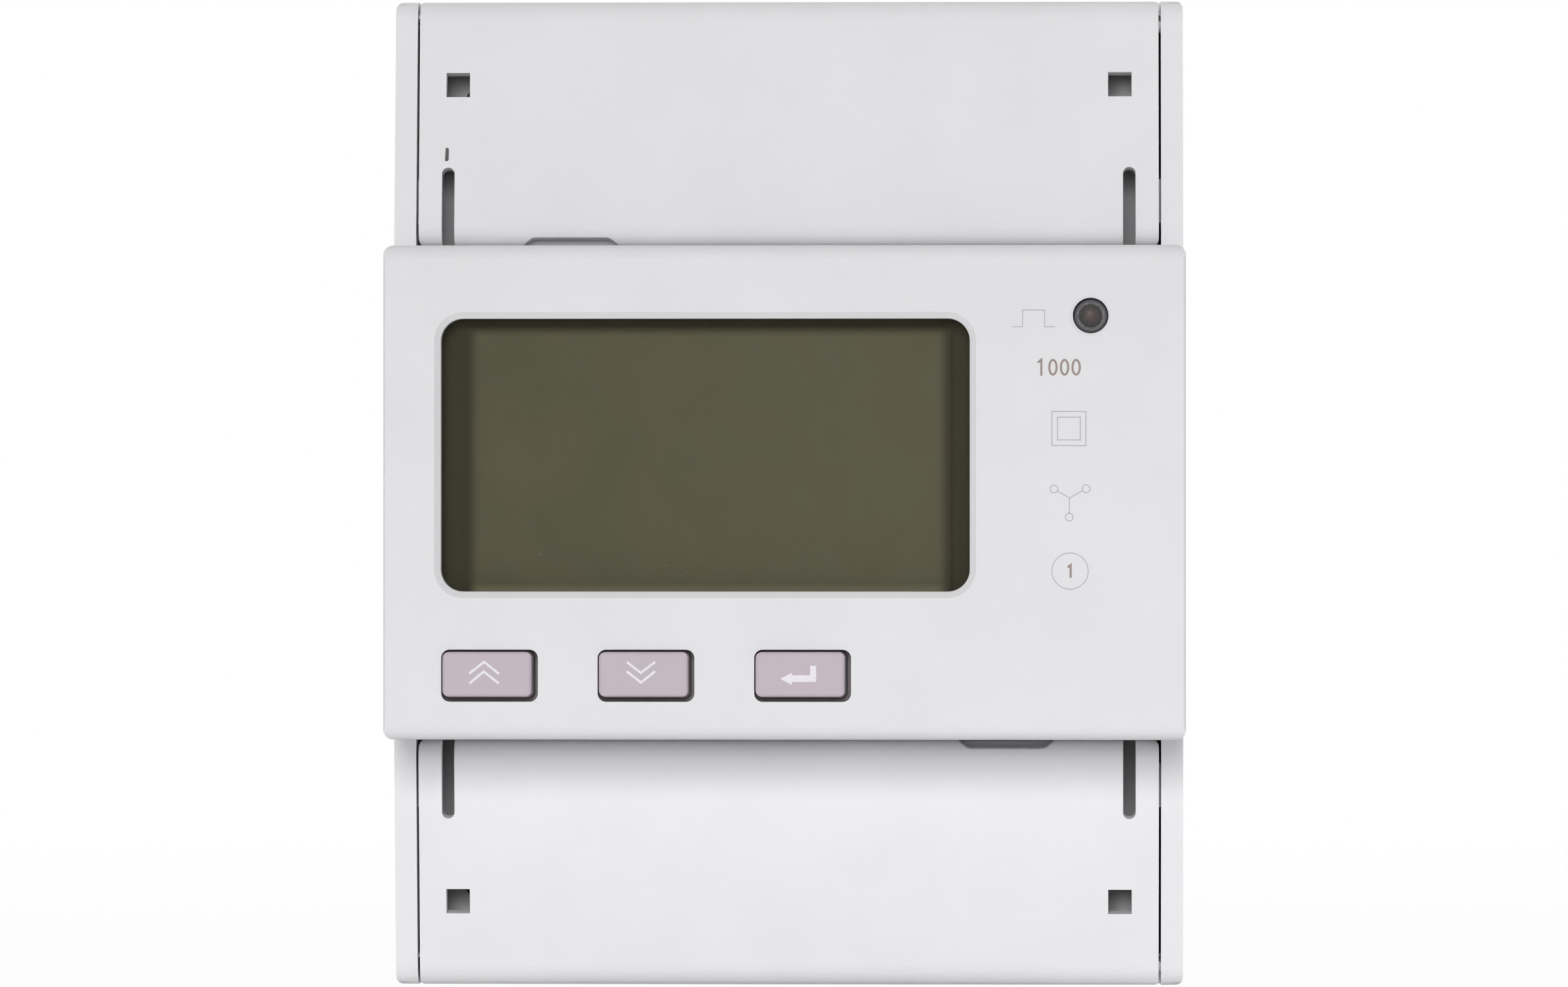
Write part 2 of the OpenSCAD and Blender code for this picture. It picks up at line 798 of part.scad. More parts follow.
module base_housing() {
    color([0.88, 0.88, 0.89]) {
        difference() {
            base_shell();
            base_hollow();
            base_rear_cuts();
            base_wire_entries();
            base_snap_windows();
        }
        rail_hooks();
        board_posts();
        hinge_pins();
        cover_ledges();
        spring_tab();
    }
}

// The front panel

module window_cut() {
    outer_w = window_w + 2 * window_bevel;
    outer_h = window_h + 2 * window_bevel;
    translate([window_x, 0, window_z]) {
        slab(-far, 0)
            rounded_rect(window_w, window_h, window_r);
        hull() {
            slab(-panel_depth - eps, -panel_depth)
                rounded_rect(outer_w, outer_h, window_r + window_bevel, $fn = 32);
            slab(-panel_depth + window_bevel_t - eps, -panel_depth + window_bevel_t)
                rounded_rect(window_w, window_h, window_r, $fn = 32);
        }
    }
}

module key_hole(i) {
    translate([key_x(i), 0, key_z])
        slab(-far, panel_in_y + 1)
            rounded_rect(hole_key_w, hole_key_h, hole_key_r);
}

module led_hole() {
    rod_y(led_x, led_z, led_r + led_gap, -far, panel_in_y + 1);
    translate([led_x, -panel_depth + led_bevel_t, led_z])
        rotate([90, 0, 0])
            cylinder(r1 = led_r + led_gap, r2 = led_r + led_gap + led_bevel, h = led_bevel_t + eps);
}

module panel_bosses() {
    for (boss = BOSSES)
        difference() {
            rod_y(boss[0], boss[1], boss_r, panel_in_y - eps, display_front);
            rod_y(boss[0], boss[1], board_screw_r + screw_gap, display_front - board_screw_l - 1,
                  display_front + 1);
        }
}

// A tongue inside each side wall, with a catch for the window in the wall
module snap_tongue() {
    outside = inner_half - fit;
    tip = -shoulder_depth + snap_l;
    root = -shoulder_depth - snap_root;
    span = [snap_z - snap_w / 2, snap_z + snap_w / 2];
    block([outside - snap_t, outside], [root, tip], span);
    block([outside - snap_t, panel_in_x + panel_wall / 4], [root, -shoulder_depth], span);
    block([outside - eps, inner_half + catch_reach], [tip - catch_h, tip], span);
}

module front_panel() {
    color([0.88, 0.88, 0.89]) {
        difference() {
            round_face(body_w, panel_h, -panel_depth, -shoulder_depth, panel_r, panel_edge_r, panel_side_r);
            block([-panel_in_x, panel_in_x], [panel_in_y, 0], [-panel_in_z, panel_in_z]);
            window_cut();
            for (i = [0 : len(KEYS) - 1])
                key_hole(i);
            led_hole();
        }
        panel_bosses();
        both_ends()
            block([-inner_half + fit, inner_half - fit],
                  [-shoulder_depth - eps, -shoulder_depth + skirt],
                  [panel_in_z, panel_half_h]);
        both_sides()
            both_ends()
                snap_tongue();
    }
}

// The display

module display_window() {
    color([0.42, 0.42, 0.34, 0.5])
        translate([window_x, 0, window_z]) {
            slab(-panel_depth + lens_step, panel_in_y + eps)
                rounded_rect(window_w - fit, window_h - fit, window_r - fit / 2);
            slab(panel_in_y, lens_back)
                rounded_rect(window_w + 2 * lens_flange, window_h + 2 * lens_flange, window_r);
        }
}

module lcd_polariser() {
    left = window_x - window_w / 2 + border_left;
    right = window_x + window_w / 2 - border_right;
    top = window_z + window_h / 2 - border_top;
    color([0.36, 0.35, 0.28])
        block([left, right], [cell_front - polariser_t, cell_front], [cell_bottom + polariser_rim, top]);
}

module lcd_sheet(front, back) {
    translate([window_x, 0, window_z])
        slab(front, back)
            square([cell_w, cell_h], center = true);
}

module lcd_cell() {
    color([0.24, 0.23, 0.18])
        lcd_sheet(cell_front, cell_back);
}

module lcd_backlight() {
    color([0.92, 0.92, 0.88])
        lcd_sheet(cell_back, backlight_back);
}

module lcd_holder() {
    color([0.2, 0.2, 0.2])
        translate([window_x, 0, window_z])
            slab(backlight_back, display_front)
                difference() {
                    square([cell_w, cell_h], center = true);
                    square([cell_w - 2 * holder_frame, cell_h - 2 * holder_frame], center = true);
                }
}

module lcd_pins() {
    count = floor((cell_w - 2 * pin_margin) / pin_pitch);
    first = window_x - (count - 1) * pin_pitch / 2;
    color([0.8, 0.78, 0.7])
        for (i = [0 : count - 1])
            translate([first + i * pin_pitch, 0, 0])
                block([-pin_w / 2, pin_w / 2], [cell_front + pin_step, display_front],
                      [cell_bottom - pin_w, cell_bottom]);
}

// The display board and what it carries

module board_screw(place, board_back, direction) {
    head = direction > 0 ? [board_back, board_back + board_head_h] : [board_back - board_head_h, board_back];
    shank_end = board_back - direction * (board_t + board_screw_l);
    rod_y(place[0], place[1], board_head_r, head[0], head[1]);
    rod_y(place[0], place[1], board_screw_r, min(board_back, shank_end), max(board_back, shank_end));
}

module board_plate(front, half_x, half_z, places) {
    difference() {
        block([-half_x, half_x], [front, front + board_t], [-half_z, half_z]);
        for (place = places)
            rod_y(place[0], place[1], board_screw_r + screw_gap, front - 1, front + board_t + 1);
    }
}

module display_board() {
    color([0.1, 0.42, 0.24])
        board_plate(display_front, display_half_x, display_half_z, BOSSES);
}

module display_board_screws() {
    color([0.75, 0.75, 0.76])
        for (boss = BOSSES)
            board_screw(boss, display_back, 1);
}

module chip(place, size, y0, y1) {
    translate([place[0], 0, place[1]])
        block([-size[0] / 2, size[0] / 2], [y0, y1], [-size[1] / 2, size[1] / 2]);
}

module display_chips() {
    color([0.12, 0.12, 0.13]) {
        chip(display_chip_at, [chip_w, chip_w], display_back, display_back + chip_h);
        chip(small_chip_at, small_chip, display_back, display_back + chip_h);
    }
}

module backup_battery() {
    color([0.78, 0.78, 0.8]) {
        rod_y(battery_at[0], battery_at[1], battery_r, display_back, display_back + battery_h - battery_rim);
        rod_y(battery_at[0], battery_at[1], battery_r - battery_step, display_back, display_back + battery_h);
    }
}

module pulse_led() {
    color([0.35, 0.3, 0.29, 0.8]) {
        translate([led_x, led_middle, led_z])
            sphere(led_r);
        rod_y(led_x, led_z, led_r, led_middle, led_foot_y + eps);
        rod_y(led_x, led_z, led_foot_r, led_foot_y, led_foot_y + led_foot);
    }
}

module led_spacer() {
    color([0.15, 0.15, 0.15])
        difference() {
            rod_y(led_x, led_z, led_foot_r, led_foot_y + led_foot, display_front);
            for (side = [-1, 1])
                rod_y(led_x + side * lead_x, led_z, lead_r + screw_gap, led_foot_y, display_front + 1);
        }
}

module led_leads() {
    color([0.8, 0.8, 0.8])
        for (side = [-1, 1])
            rod_y(led_x + side * lead_x, led_z, lead_r, led_foot_y + led_foot, display_front);
}

// The keys and their switches

module key_switches() {
    color([0.14, 0.14, 0.15])
        for (i = [0 : len(KEYS) - 1])
            difference() {
                translate([key_x(i), 0, key_z])
                    block([-switch_w / 2, switch_w / 2], [switch_front, display_front],
                          [-switch_w / 2, switch_w / 2]);
                rod_y(key_x(i), key_z, plunger_r + plunger_gap, switch_front - 1,
                      display_front - plunger_base);
            }
}

// A cap in its hole, a flange behind the panel and a stem to the switch
module key(i) {
    flange_w = hole_key_w + 2 * key_flange;
    flange_h = hole_key_h + 2 * key_flange;
    flange_front = panel_in_y + key_rest_gap;
    color([0.75, 0.71, 0.74])
        translate([key_x(i), 0, key_z]) {
            translate([key_shift_x, 0, key_shift_z])
                hull() {
                    round_face(key_w, key_h, -panel_depth - key_proud, -panel_depth, key_r, key_edge_r,
                               key_edge_r);
                    translate([key_draft / 2, 0, -key_draft / 2])
                        slab(flange_front - eps, flange_front + eps)
                            rounded_rect(key_w + key_draft, key_h + key_draft, key_r);
                }
            slab(flange_front, key_back)
                rounded_rect(flange_w, flange_h, hole_key_r);
            rod_y(0, 0, key_stem_r, key_back - eps, plunger_front);
        }
}

module switch_plunger(i) {
    color([0.2, 0.2, 0.2])
        rod_y(key_x(i), key_z, plunger_r, plunger_front, display_front - 2 * plunger_base - key_travel);
}

// The connection between the boards

module header_places() {
    for (i = [0 : header_pins_n - 1])
        translate([header_at[0] - header_half_x + (i + 0.5) * header_pitch, 0, header_at[1]])
            children();
}

module header_body(front, back) {
    hole_half = header_pin_half + header_pin_clear;
    difference() {
        translate([header_at[0], 0, header_at[1]])
            block([-header_half_x, header_half_x], [front, back], [-header_half_z, header_half_z]);
        header_places()
            block([-hole_half, hole_half], [display_back - 1, header_mid + header_reach + header_bottom],
                  [-hole_half, hole_half]);
    }
}

module board_header() {
    color([0.1, 0.1, 0.1])
        header_body(display_back, header_mid);
}

module header_pins() {
    color([0.85, 0.72, 0.35])
        header_places()
            block([-header_pin_half, header_pin_half], [display_back, header_mid + header_reach],
                  [-header_pin_half, header_pin_half]);
}

module header_socket() {
    color([0.12, 0.12, 0.12])
        header_body(header_mid, measuring_front);
}

// The measuring board and what it carries

module measuring_board() {
    color([0.1, 0.42, 0.24]) {
        board_plate(measuring_front, measuring_half_x, measuring_half_z, POSTS);
        block([bay_x0, measuring_half_x], [measuring_front, measuring_back],
              [-bay_half_h + 2 * fit, -measuring_half_z + eps]);
    }
}

module measuring_board_screws() {
    color([0.75, 0.75, 0.76])
        for (post = POSTS)
            board_screw(post, measuring_front, -1);
}

module metering_chips() {
    top = measuring_front - chip_h;
    color([0.12, 0.12, 0.13]) {
        chip(metering_chip_at, [chip_w, chip_w], top, measuring_front);
        for (i = [0 : DRIVERS - 1])
            chip(driver_chips_at + [i * driver_pitch, 0], small_chip, top, measuring_front);
    }
}

module supply_transformer() {
    color([0.25, 0.25, 0.27])
        translate([transformer_at[0], 0, transformer_at[1]])
            difference() {
                block([-core_w / 2, core_w / 2],
                      [measuring_front - core_h - core_lift, measuring_front - core_lift],
                      [-core_w / 2, core_w / 2]);
                block([-winding_w / 2, winding_w / 2], [-far, measuring_front],
                      [-core_w / 2 + core_leg, core_w / 2 - core_leg]);
            }
}

module transformer_winding() {
    color([0.85, 0.75, 0.3])
        translate([transformer_at[0], 0, transformer_at[1]])
            block([-winding_w / 2, winding_w / 2], [transformer_front, measuring_front],
                  [-core_w / 2 + core_leg, core_w / 2 - core_leg]);
}

module filter_capacitors() {
    color([0.15, 0.2, 0.35])
        for (i = [0 : 1])
            rod_y(capacitors_at[0], capacitors_at[1] + i * (2 * capacitor_r + capacitor_space), capacitor_r,
                  capacitor_front, measuring_front);
}

module surge_varistors() {
    color([0.2, 0.35, 0.6])
        for (i = [0 : POLES - 2])
            rod_z(varistors_at[0] + i * (2 * varistor_r + varistor_space),
                  measuring_front - varistor_r - varistor_lift, varistor_r,
                  varistors_at[1], varistors_at[1] + varistor_t);
}

// The power path

module busbars() {
    color([0.72, 0.5, 0.3])
        for (i = [0 : POLES - 1])
            translate([pole_x(i), 0, 0])
                block([-bar_w / 2, bar_w / 2], [bar_front, bar_back], [-bar_end, bar_end]);
}

module current_transformers() {
    color([0.16, 0.17, 0.2])
        for (i = [0 : POLES - 2])
            difference() {
                union() {
                    rod_z(pole_x(i), bar_middle, ct_r, -ct_l / 2, ct_l / 2);
                    for (side = [-1, 1])
                        rod_y(pole_x(i) + side * ct_pin_x, 0, ct_pin_r, measuring_back,
                              bar_middle - (ct_r + ct_bore_r) / 2);
                }
                rod_z(pole_x(i), bar_middle, ct_bore_r, -far, far);
            }
}

module voltage_taps() {
    color([0.85, 0.72, 0.35])
        for (i = [0 : POLES - 1])
            rod_y(pole_x(i), tap_z, tap_r, measuring_back, bar_front);
}

// The terminals. The first four are at the upper end, the others at the lower end.

module at_end(i) {
    if (i <= POLES)
        children();
    else
        mirror([0, 0, 1])
            children();
}

function pole_of(i) = (i - 1) % POLES;

// The front plate runs on past the terminals, and its lip lies behind the cover's edge, open at the slots
module terminal_block() {
    slot_x = cover_half_w - slot_inset;
    difference() {
        union() {
            block([block_x0, block_x1], [block_front, floor_y], [block_in, block_out]);
            block([block_x0, -block_x0], [block_front, block_front + plate_t], [block_in, block_out]);
            block([block_x0, -block_x0], [lip_front, block_front + eps], [block_in, block_in + lip_t]);
        }
        rod_x(hinge_y, hinge_z, barrel_r + barrel_gap, -far, far);
        block([-far, far], [-far, hinge_y], [hinge_z - barrel_r - barrel_gap, far]);
        both_sides()
            block([slot_x - slot_w, slot_x + slot_w], [-far, block_front], [0, block_in + lip_t + 1]);
        for (i = [0 : POLES - 1])
            translate([pole_x(i), 0, 0]) {
                block([-chamber_w / 2, chamber_w / 2], [block_front + plate_t, far],
                      [chamber_in, chamber_out]);
                rod_y(0, screw_z, head_r + head_gap, -far, block_front + plate_t + eps);
                rod_z(0, wire_y, wire_r, chamber_out - eps, far);
                block([-bar_w / 2 - fit, bar_w / 2 + fit], [bar_front - fit, bar_back + fit],
                      [0, chamber_in + eps]);
            }
    }
}

module upper_terminal_block() {
    color([0.63, 0.63, 0.64])
        terminal_block();
}

module lower_terminal_block() {
    color([0.63, 0.63, 0.64])
        mirror([0, 0, 1])
            terminal_block();
}

module terminal_cage(i) {
    inside = cage_w / 2 - cage_wall;
    color([0.78, 0.77, 0.72])
        at_end(i)
            translate([pole_x(pole_of(i)), 0, screw_z])
                difference() {
                    block([-cage_w / 2, cage_w / 2], [cage_front, cage_back], [-cage_l / 2, cage_l / 2]);
                    block([-inside, inside], [cage_in_front, cage_floor_in], [-far, far]);
                    rod_y(0, 0, screw_r + thread_gap, -far, cage_in_front + eps);
                }
}

module terminal_screw(i) {
    drive = drive_w / 2;
    cross = head_r * cross_share;
    drive_y = [-far, head_front + drive_depth];
    color([0.8, 0.8, 0.8])
        at_end(i)
            translate([pole_x(pole_of(i)), 0, screw_z])
                difference() {
                    union() {
                        rod_y(0, 0, head_r, head_front, head_back);
                        rod_y(0, 0, screw_r, head_back - eps, bar_front - thread_gap);
                    }
                    block([-far, far], drive_y, [-drive, drive]);
                    block([-drive, drive], drive_y, [-cross, cross]);
                }
}

// The signal socket

module signal_socket() {
    half = socket_w / 2;
    color([0.2, 0.45, 0.25])
        translate([socket_x, 0, 0])
            difference() {
                block([-half, half], socket_y, socket_z);
                block([-half + socket_wall, half - socket_wall],
                      [socket_y[0] + socket_wall, socket_y[1] - socket_wall],
                      [-far, socket_z[1] - socket_back]);
                signal_pin_places()
                    block([-signal_pin_w / 2 - eps, signal_pin_w / 2 + eps],
                          [-signal_pin_w / 2 - eps, signal_pin_w / 2 + eps], [-far, far]);
            }
}

module signal_pin_places() {
    for (i = [0 : SIGNAL_PINS - 1])
        translate([(i - (SIGNAL_PINS - 1) / 2) * signal_pitch, (socket_y[0] + socket_y[1]) / 2, 0])
            children();
}

// Each pin comes out of the socket's back and turns to the board
module signal_pins() {
    half = signal_pin_w / 2;
    tail = socket_z[1] + signal_pin_w + signal_tail;
    color([0.85, 0.72, 0.35])
        translate([socket_x, 0, 0])
            signal_pin_places() {
                block([-half, half], [-half, half], [socket_z[1] - socket_back - signal_pin_l, tail]);
                block([-half, half], [-socket_h / 2, half], [tail - signal_pin_w, tail]);
            }
}

// The terminal covers, drawn round their hinge axis with the plate hanging down

module cover_outline() {
    circle(barrel_r);
    translate([-barrel_r, -cover_l + cover_edge_r])
        square([cover_t, cover_l - cover_edge_r]);
    intersection() {
        translate([-barrel_r, -cover_l])
            square([cover_t, cover_edge_r + eps]);
        union() {
            translate([-barrel_r + cover_edge_r, -cover_l + cover_edge_r])
                circle(cover_edge_r);
            translate([-barrel_r + cover_edge_r, -cover_l])
                square([cover_t, cover_edge_r + eps]);
        }
    }
}

// What rounding takes away from a corner at the upper right
module corner_rest(r) {
    difference() {
        square(2 * r);
        circle(r);
    }
}

// A slanted notch with round corners, which runs on past the cover's edge
module notch_outline() {
    top = notch_w / 2 - notch_slant;
    foot = top + 4 * notch_slant;
    foot_z = -3 * notch_depth;
    offset(r = notch_r)
        offset(delta = -notch_r)
            polygon([[-foot, foot_z], [foot, foot_z], [top, notch_depth], [-top, notch_depth]]);
}

module cover_openings() {
    for (side = [-1, 1]) {
        translate([side * (cover_half_w - slot_inset), 0, 0])
            slab(-far, 0) {
                translate([-slot_w / 2, -cover_l - 1])
                    square([slot_w, slot_l + 1 - slot_w / 2]);
                translate([0, -cover_l + slot_l - slot_w / 2])
                    circle(slot_w / 2);
            }
        translate([side * (cover_half_w - hole_inset), 0, -hole_drop])
            slab(-far, 0)
                square([hole_w, hole_h], center = true);
    }
    translate([-cover_half_w + notch_inset, 0, -cover_l])
        slab(-far, 0)
            notch_outline();
    both_sides() {
        translate([cover_half_w - cover_corner_r, 0, barrel_r - cover_corner_r])
            slab(-far, far)
                corner_rest(cover_corner_r);
        translate([cover_half_w - cover_corner_r, 0, -cover_l + cover_corner_r])
            slab(-far, far)
                mirror([0, 1])
                    corner_rest(cover_corner_r);
    }
}

module terminal_cover() {
    translate([0, hinge_y, hinge_z])
        rotate([-cover_slope, 0, 0])
            difference() {
                along_x(-cover_half_w, cover_half_w)
                    cover_outline();
                cover_openings();
                rod_x(0, 0, pin_r + pin_gap, -far, far);
            }
}

module upper_cover() {
    color([0.87, 0.87, 0.88])
        terminal_cover();
}

module lower_cover() {
    color([0.9, 0.9, 0.91])
        rotate([0, 180, 0])
            terminal_cover();
}

// The rail clip

module clip_nose() {
    nose_top = -rail_h / 2 + clip_reach;
    nose_back = clip_y0 + clip_t;
    along_x(-clip_w / 2, clip_w / 2)
        polygon([
            [nose_y0, clip_top - eps], [nose_y0, nose_top], [nose_y0 + nose_tip, nose_top],
            [nose_back, clip_top + nose_heel], [nose_back, clip_top - eps]]);
}

module din_clip() {
    color([0.16, 0.16, 0.17]) {
        difference() {
            union() {
                block([-clip_w / 2, clip_w / 2], [clip_y0, clip_y0 + clip_t], [clip_bottom, clip_top]);
                both_sides()
                    block([clip_w / 2 - eps, clip_w / 2 + tongue_w], [tongue_y, tongue_y + tongue_t],
                          [tongue_bottom, tongue_top]);
            }
            block([-well_half, well_half], [-far, far], [tab_top - tab_t - clip_gap, spring_top]);
            block([-pry_w / 2, pry_w / 2], [-far, far],
                  [clip_bottom + pry_edge, clip_bottom + pry_edge + pry_h]);
        }
        clip_nose();
    }
}

// The spring is one tube: straight ends and a helix between them

SPRING_SIDES = 6;
RINGS_PER_TURN = 8;
spring_mid_r = spring_r - wire_thick_r;
spring_end = 2 * wire_thick_r;
helix_l = spring_l - 2 * spring_end;
helix_rings = spring_turns * RINGS_PER_TURN;

function helix_point(t) = [
    spring_mid_r * cos(360 * t / RINGS_PER_TURN),
    spring_mid_r * sin(360 * t / RINGS_PER_TURN),
    spring_end + helix_l * t / helix_rings];
spring_path = concat(
    [[spring_mid_r, 0, 0]],
    [for (t = [0 : helix_rings]) helix_point(t)],
    [[spring_mid_r * cos(360 * spring_turns), spring_mid_r * sin(360 * spring_turns), spring_l]]);

// One ring of the tube, square to the axis at the ends and along the radius between them
function spring_ring(i) =
    let (last = len(spring_path) - 1)
    let (before = spring_path[max(i - 1, 0)], after = spring_path[min(i + 1, last)])
    let (along = i == 0 || i == last ? [0, 0, 1] : (after - before) / norm(after - before))
    let (place = spring_path[i])
    let (out = [place[0], place[1], 0] / spring_mid_r)
    let (across = cross(along, out) / norm(cross(along, out)))
    let (side = cross(across, along))
    [for (k = [0 : SPRING_SIDES - 1])
        place + wire_thick_r * (side * cos(360 * k / SPRING_SIDES) + across * sin(360 * k / SPRING_SIDES))];

function tube_faces(rings, n) = concat(
    [for (k = [1 : n - 2]) [0, k + 1, k]],
    [for (i = [0 : rings - 2], k = [0 : n - 1])
        [i * n + k, i * n + (k + 1) % n, (i + 1) * n + (k + 1) % n]],
    [for (i = [0 : rings - 2], k = [0 : n - 1])
        [i * n + k, (i + 1) * n + (k + 1) % n, (i + 1) * n + k]],
    [for (k = [1 : n - 2]) [(rings - 1) * n, (rings - 1) * n + k, (rings - 1) * n + k + 1]]);

module din_clip_spring() {
    rings = len(spring_path);
    gaps = [for (i = [0 : rings - 1], j = [0 : rings - 1])
        if (j - i > RINGS_PER_TURN / 2) norm(spring_path[i] - spring_path[j]) - 2 * wire_thick_r];
    echo(least_spring_gap = min(gaps));
    color([0.75, 0.76, 0.78])
        translate([0, spring_y, tab_top])
            polyhedron(
                [for (i = [0 : rings - 1]) each spring_ring(i)],
                tube_faces(rings, SPRING_SIDES));
}

base_housing();
front_panel();
display_window();
lcd_polariser();
lcd_cell();
lcd_backlight();
lcd_holder();
lcd_pins();
display_board();
display_board_screws();
display_chips();
backup_battery();
pulse_led();
led_spacer();
led_leads();
key_switches();
for (i = [0 : len(KEYS) - 1])
    key(i);
for (i = [0 : len(KEYS) - 1])
    switch_plunger(i);
board_header();
header_pins();
header_socket();
measuring_board();
measuring_board_screws();
metering_chips();
supply_transformer();
transformer_winding();
filter_capacitors();
surge_varistors();
current_transformers();
voltage_taps();
busbars();
upper_terminal_block();
lower_terminal_block();
for (i = [1 : 2 * POLES])
    terminal_cage(i);
for (i = [1 : 2 * POLES])
    terminal_screw(i);
signal_socket();
signal_pins();
upper_cover();
lower_cover();
din_clip();
din_clip_spring();
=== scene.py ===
"""Looks of a four-module energy meter for a mounting rail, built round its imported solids.

Lengths are in metres in the part's own frame: X to the right, Z up, and the front faces -Y.
"""

import math

import bmesh
import bpy
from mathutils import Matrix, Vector


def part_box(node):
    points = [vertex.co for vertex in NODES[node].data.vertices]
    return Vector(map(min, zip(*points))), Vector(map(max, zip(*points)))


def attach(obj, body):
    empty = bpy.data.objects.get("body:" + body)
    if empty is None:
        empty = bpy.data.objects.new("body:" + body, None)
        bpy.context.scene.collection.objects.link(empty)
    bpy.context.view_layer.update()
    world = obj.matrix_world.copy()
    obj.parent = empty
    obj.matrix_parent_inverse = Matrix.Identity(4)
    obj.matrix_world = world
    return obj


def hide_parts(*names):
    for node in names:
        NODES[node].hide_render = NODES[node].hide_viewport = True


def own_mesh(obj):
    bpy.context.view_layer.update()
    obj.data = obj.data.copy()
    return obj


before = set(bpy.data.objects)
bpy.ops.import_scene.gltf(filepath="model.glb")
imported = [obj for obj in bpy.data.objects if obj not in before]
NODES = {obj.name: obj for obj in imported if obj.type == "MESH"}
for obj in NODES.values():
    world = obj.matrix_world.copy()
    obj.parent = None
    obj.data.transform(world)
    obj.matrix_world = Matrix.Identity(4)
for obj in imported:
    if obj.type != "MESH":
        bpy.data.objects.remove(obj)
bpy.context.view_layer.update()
MM = 0.001
ROOT = "meter"

# The part's planes and places, in millimetres. INK_T is how far printed lines stand out
PANEL_FACE = -60.0
KEY_FACE = -60.6
COVER_TOP_Y = -46.0
COVER_TOP_Z = 22.2
COVER_SLOPE = math.tan(math.radians(6.6))
WINDOW_FOOT = -8.95
INK_T = 0.02
LAMP = (27.48, 15.84)

# Smoothing limits in degrees. Finely faceted roundings need a small one, or their ends bend the shading
FINE_FACETS = 8
COVER_FACETS = 20
BEVELS = 35


# Colours and shader nodes

def srgb(red, green, blue):
    """A colour picked on screen, 0 to 255, as linear values."""
    linear = []
    for value in (red, green, blue):
        share = value / 255
        linear.append(share / 12.92 if share <= 0.04045 else ((share + 0.055) / 1.055) ** 2.4)
    return (*linear, 1.0)


def shade(colour, factor):
    return (*(min(1.0, value * factor) for value in colour[:3]), 1.0)


class Shader:
    """A Principled material with helpers for the nodes that feed it."""

    def __init__(self, name, colour, roughness, **sockets):
        self.material = bpy.data.materials.new(name)
        self.material.use_nodes = True
        self.tree = self.material.node_tree
        self.principled = self.tree.nodes["Principled BSDF"]
        self.set("Base Color", colour)
        self.set("Roughness", roughness)
        for socket, value in sockets.items():
            self.set(socket.replace("_", " "), value)

    def set(self, socket, value):
        self.principled.inputs[socket].default_value = value

    def link(self, output, socket):
        self.tree.links.new(output, self.principled.inputs[socket])

    def node(self, kind, **settings):
        made = self.tree.nodes.new(kind)
        for key, value in settings.items():
            setattr(made, key, value)
        return made

    def place(self, stretch=(1, 1, 1)):
        """Coordinates in the part's frame, stretched for brushed or drawn surfaces."""
        coordinates = self.node("ShaderNodeTexCoord")
        mapping = self.node("ShaderNodeMapping")
        mapping.inputs["Scale"].default_value = stretch
        self.tree.links.new(coordinates.outputs["Object"], mapping.inputs["Vector"])
        return mapping.outputs["Vector"]

    def noise(self, size, detail=2.0, stretch=(1, 1, 1)):
        """Noise whose grains are about that size, in metres."""
        made = self.node("ShaderNodeTexNoise")
        made.inputs["Scale"].default_value = 1 / size
        made.inputs["Detail"].default_value = detail
        self.tree.links.new(self.place(stretch), made.inputs["Vector"])
        return made.outputs["Fac"]

    def specks(self, spacing, size):
        """Sparse round specks: 1 in a speck and 0 around it."""
        made = self.node("ShaderNodeTexVoronoi")
        made.inputs["Scale"].default_value = 1 / spacing
        self.tree.links.new(self.place(), made.inputs["Vector"])
        return self.ramp(made.outputs["Distance"], size / spacing, 0.5 * size / spacing, 0, 1)

    def ramp(self, value, low, high, start, end):
        """The value's stretch from low to high as a smooth step from start to end."""
        made = self.node("ShaderNodeMapRange", interpolation_type="SMOOTHSTEP")
        self.tree.links.new(value, made.inputs["Value"])
        for socket, number in (("From Min", low), ("From Max", high), ("To Min", start), ("To Max", end)):
            made.inputs[socket].default_value = number
        return made.outputs["Result"]

    def along(self, axis):
        """The place along one axis of the part's frame."""
        split = self.node("ShaderNodeSeparateXYZ")
        self.tree.links.new(self.place(), split.inputs["Vector"])
        return split.outputs[axis]

    def math(self, operation, first, second):
        made = self.node("ShaderNodeMath", operation=operation)
        for slot, value in enumerate((first, second)):
            if isinstance(value, (int, float)):
                made.inputs[slot].default_value = value
            else:
                self.tree.links.new(value, made.inputs[slot])
        return made.outputs["Value"]

    def mix(self, factor, first, second):
        """A colour between two, each a colour or a node's output."""
        made = self.node("ShaderNodeMix", data_type="RGBA")
        self.tree.links.new(factor, made.inputs["Factor"])
        for slot, value in (("A", first), ("B", second)):
            socket = [s for s in made.inputs if s.name == slot and s.type == "RGBA"][0]
            if isinstance(value, tuple):
                socket.default_value = value
            else:
                self.tree.links.new(value, socket)
        return [s for s in made.outputs if s.type == "RGBA"][0]

    def bump(self, height, depth):
        made = self.node("ShaderNodeBump")
        made.inputs["Strength"].default_value = 1.0
        made.inputs["Distance"].default_value = depth
        self.tree.links.new(height, made.inputs["Height"])
        self.link(made.outputs["Normal"], "Normal")


def moulded(name, colour, roughness, grain=0.35 * MM, depth=0.008 * MM, cloud=0.012, **sockets):
    """Moulded plastic: an eroded grain in the surface and a faint cloud in the colour."""
    made = Shader(name, colour, roughness, **sockets)
    clouds = made.noise(9 * MM, detail=3.0)
    grains = made.noise(grain)
    tone = made.mix(made.ramp(clouds, 0.3, 0.7, 0, 1), shade(colour, 1 - cloud), shade(colour, 1 + cloud))
    made.link(tone, "Base Color")
    made.link(made.ramp(grains, 0.2, 0.8, roughness - 0.06, roughness + 0.06), "Roughness")
    made.bump(grains, depth)
    return made


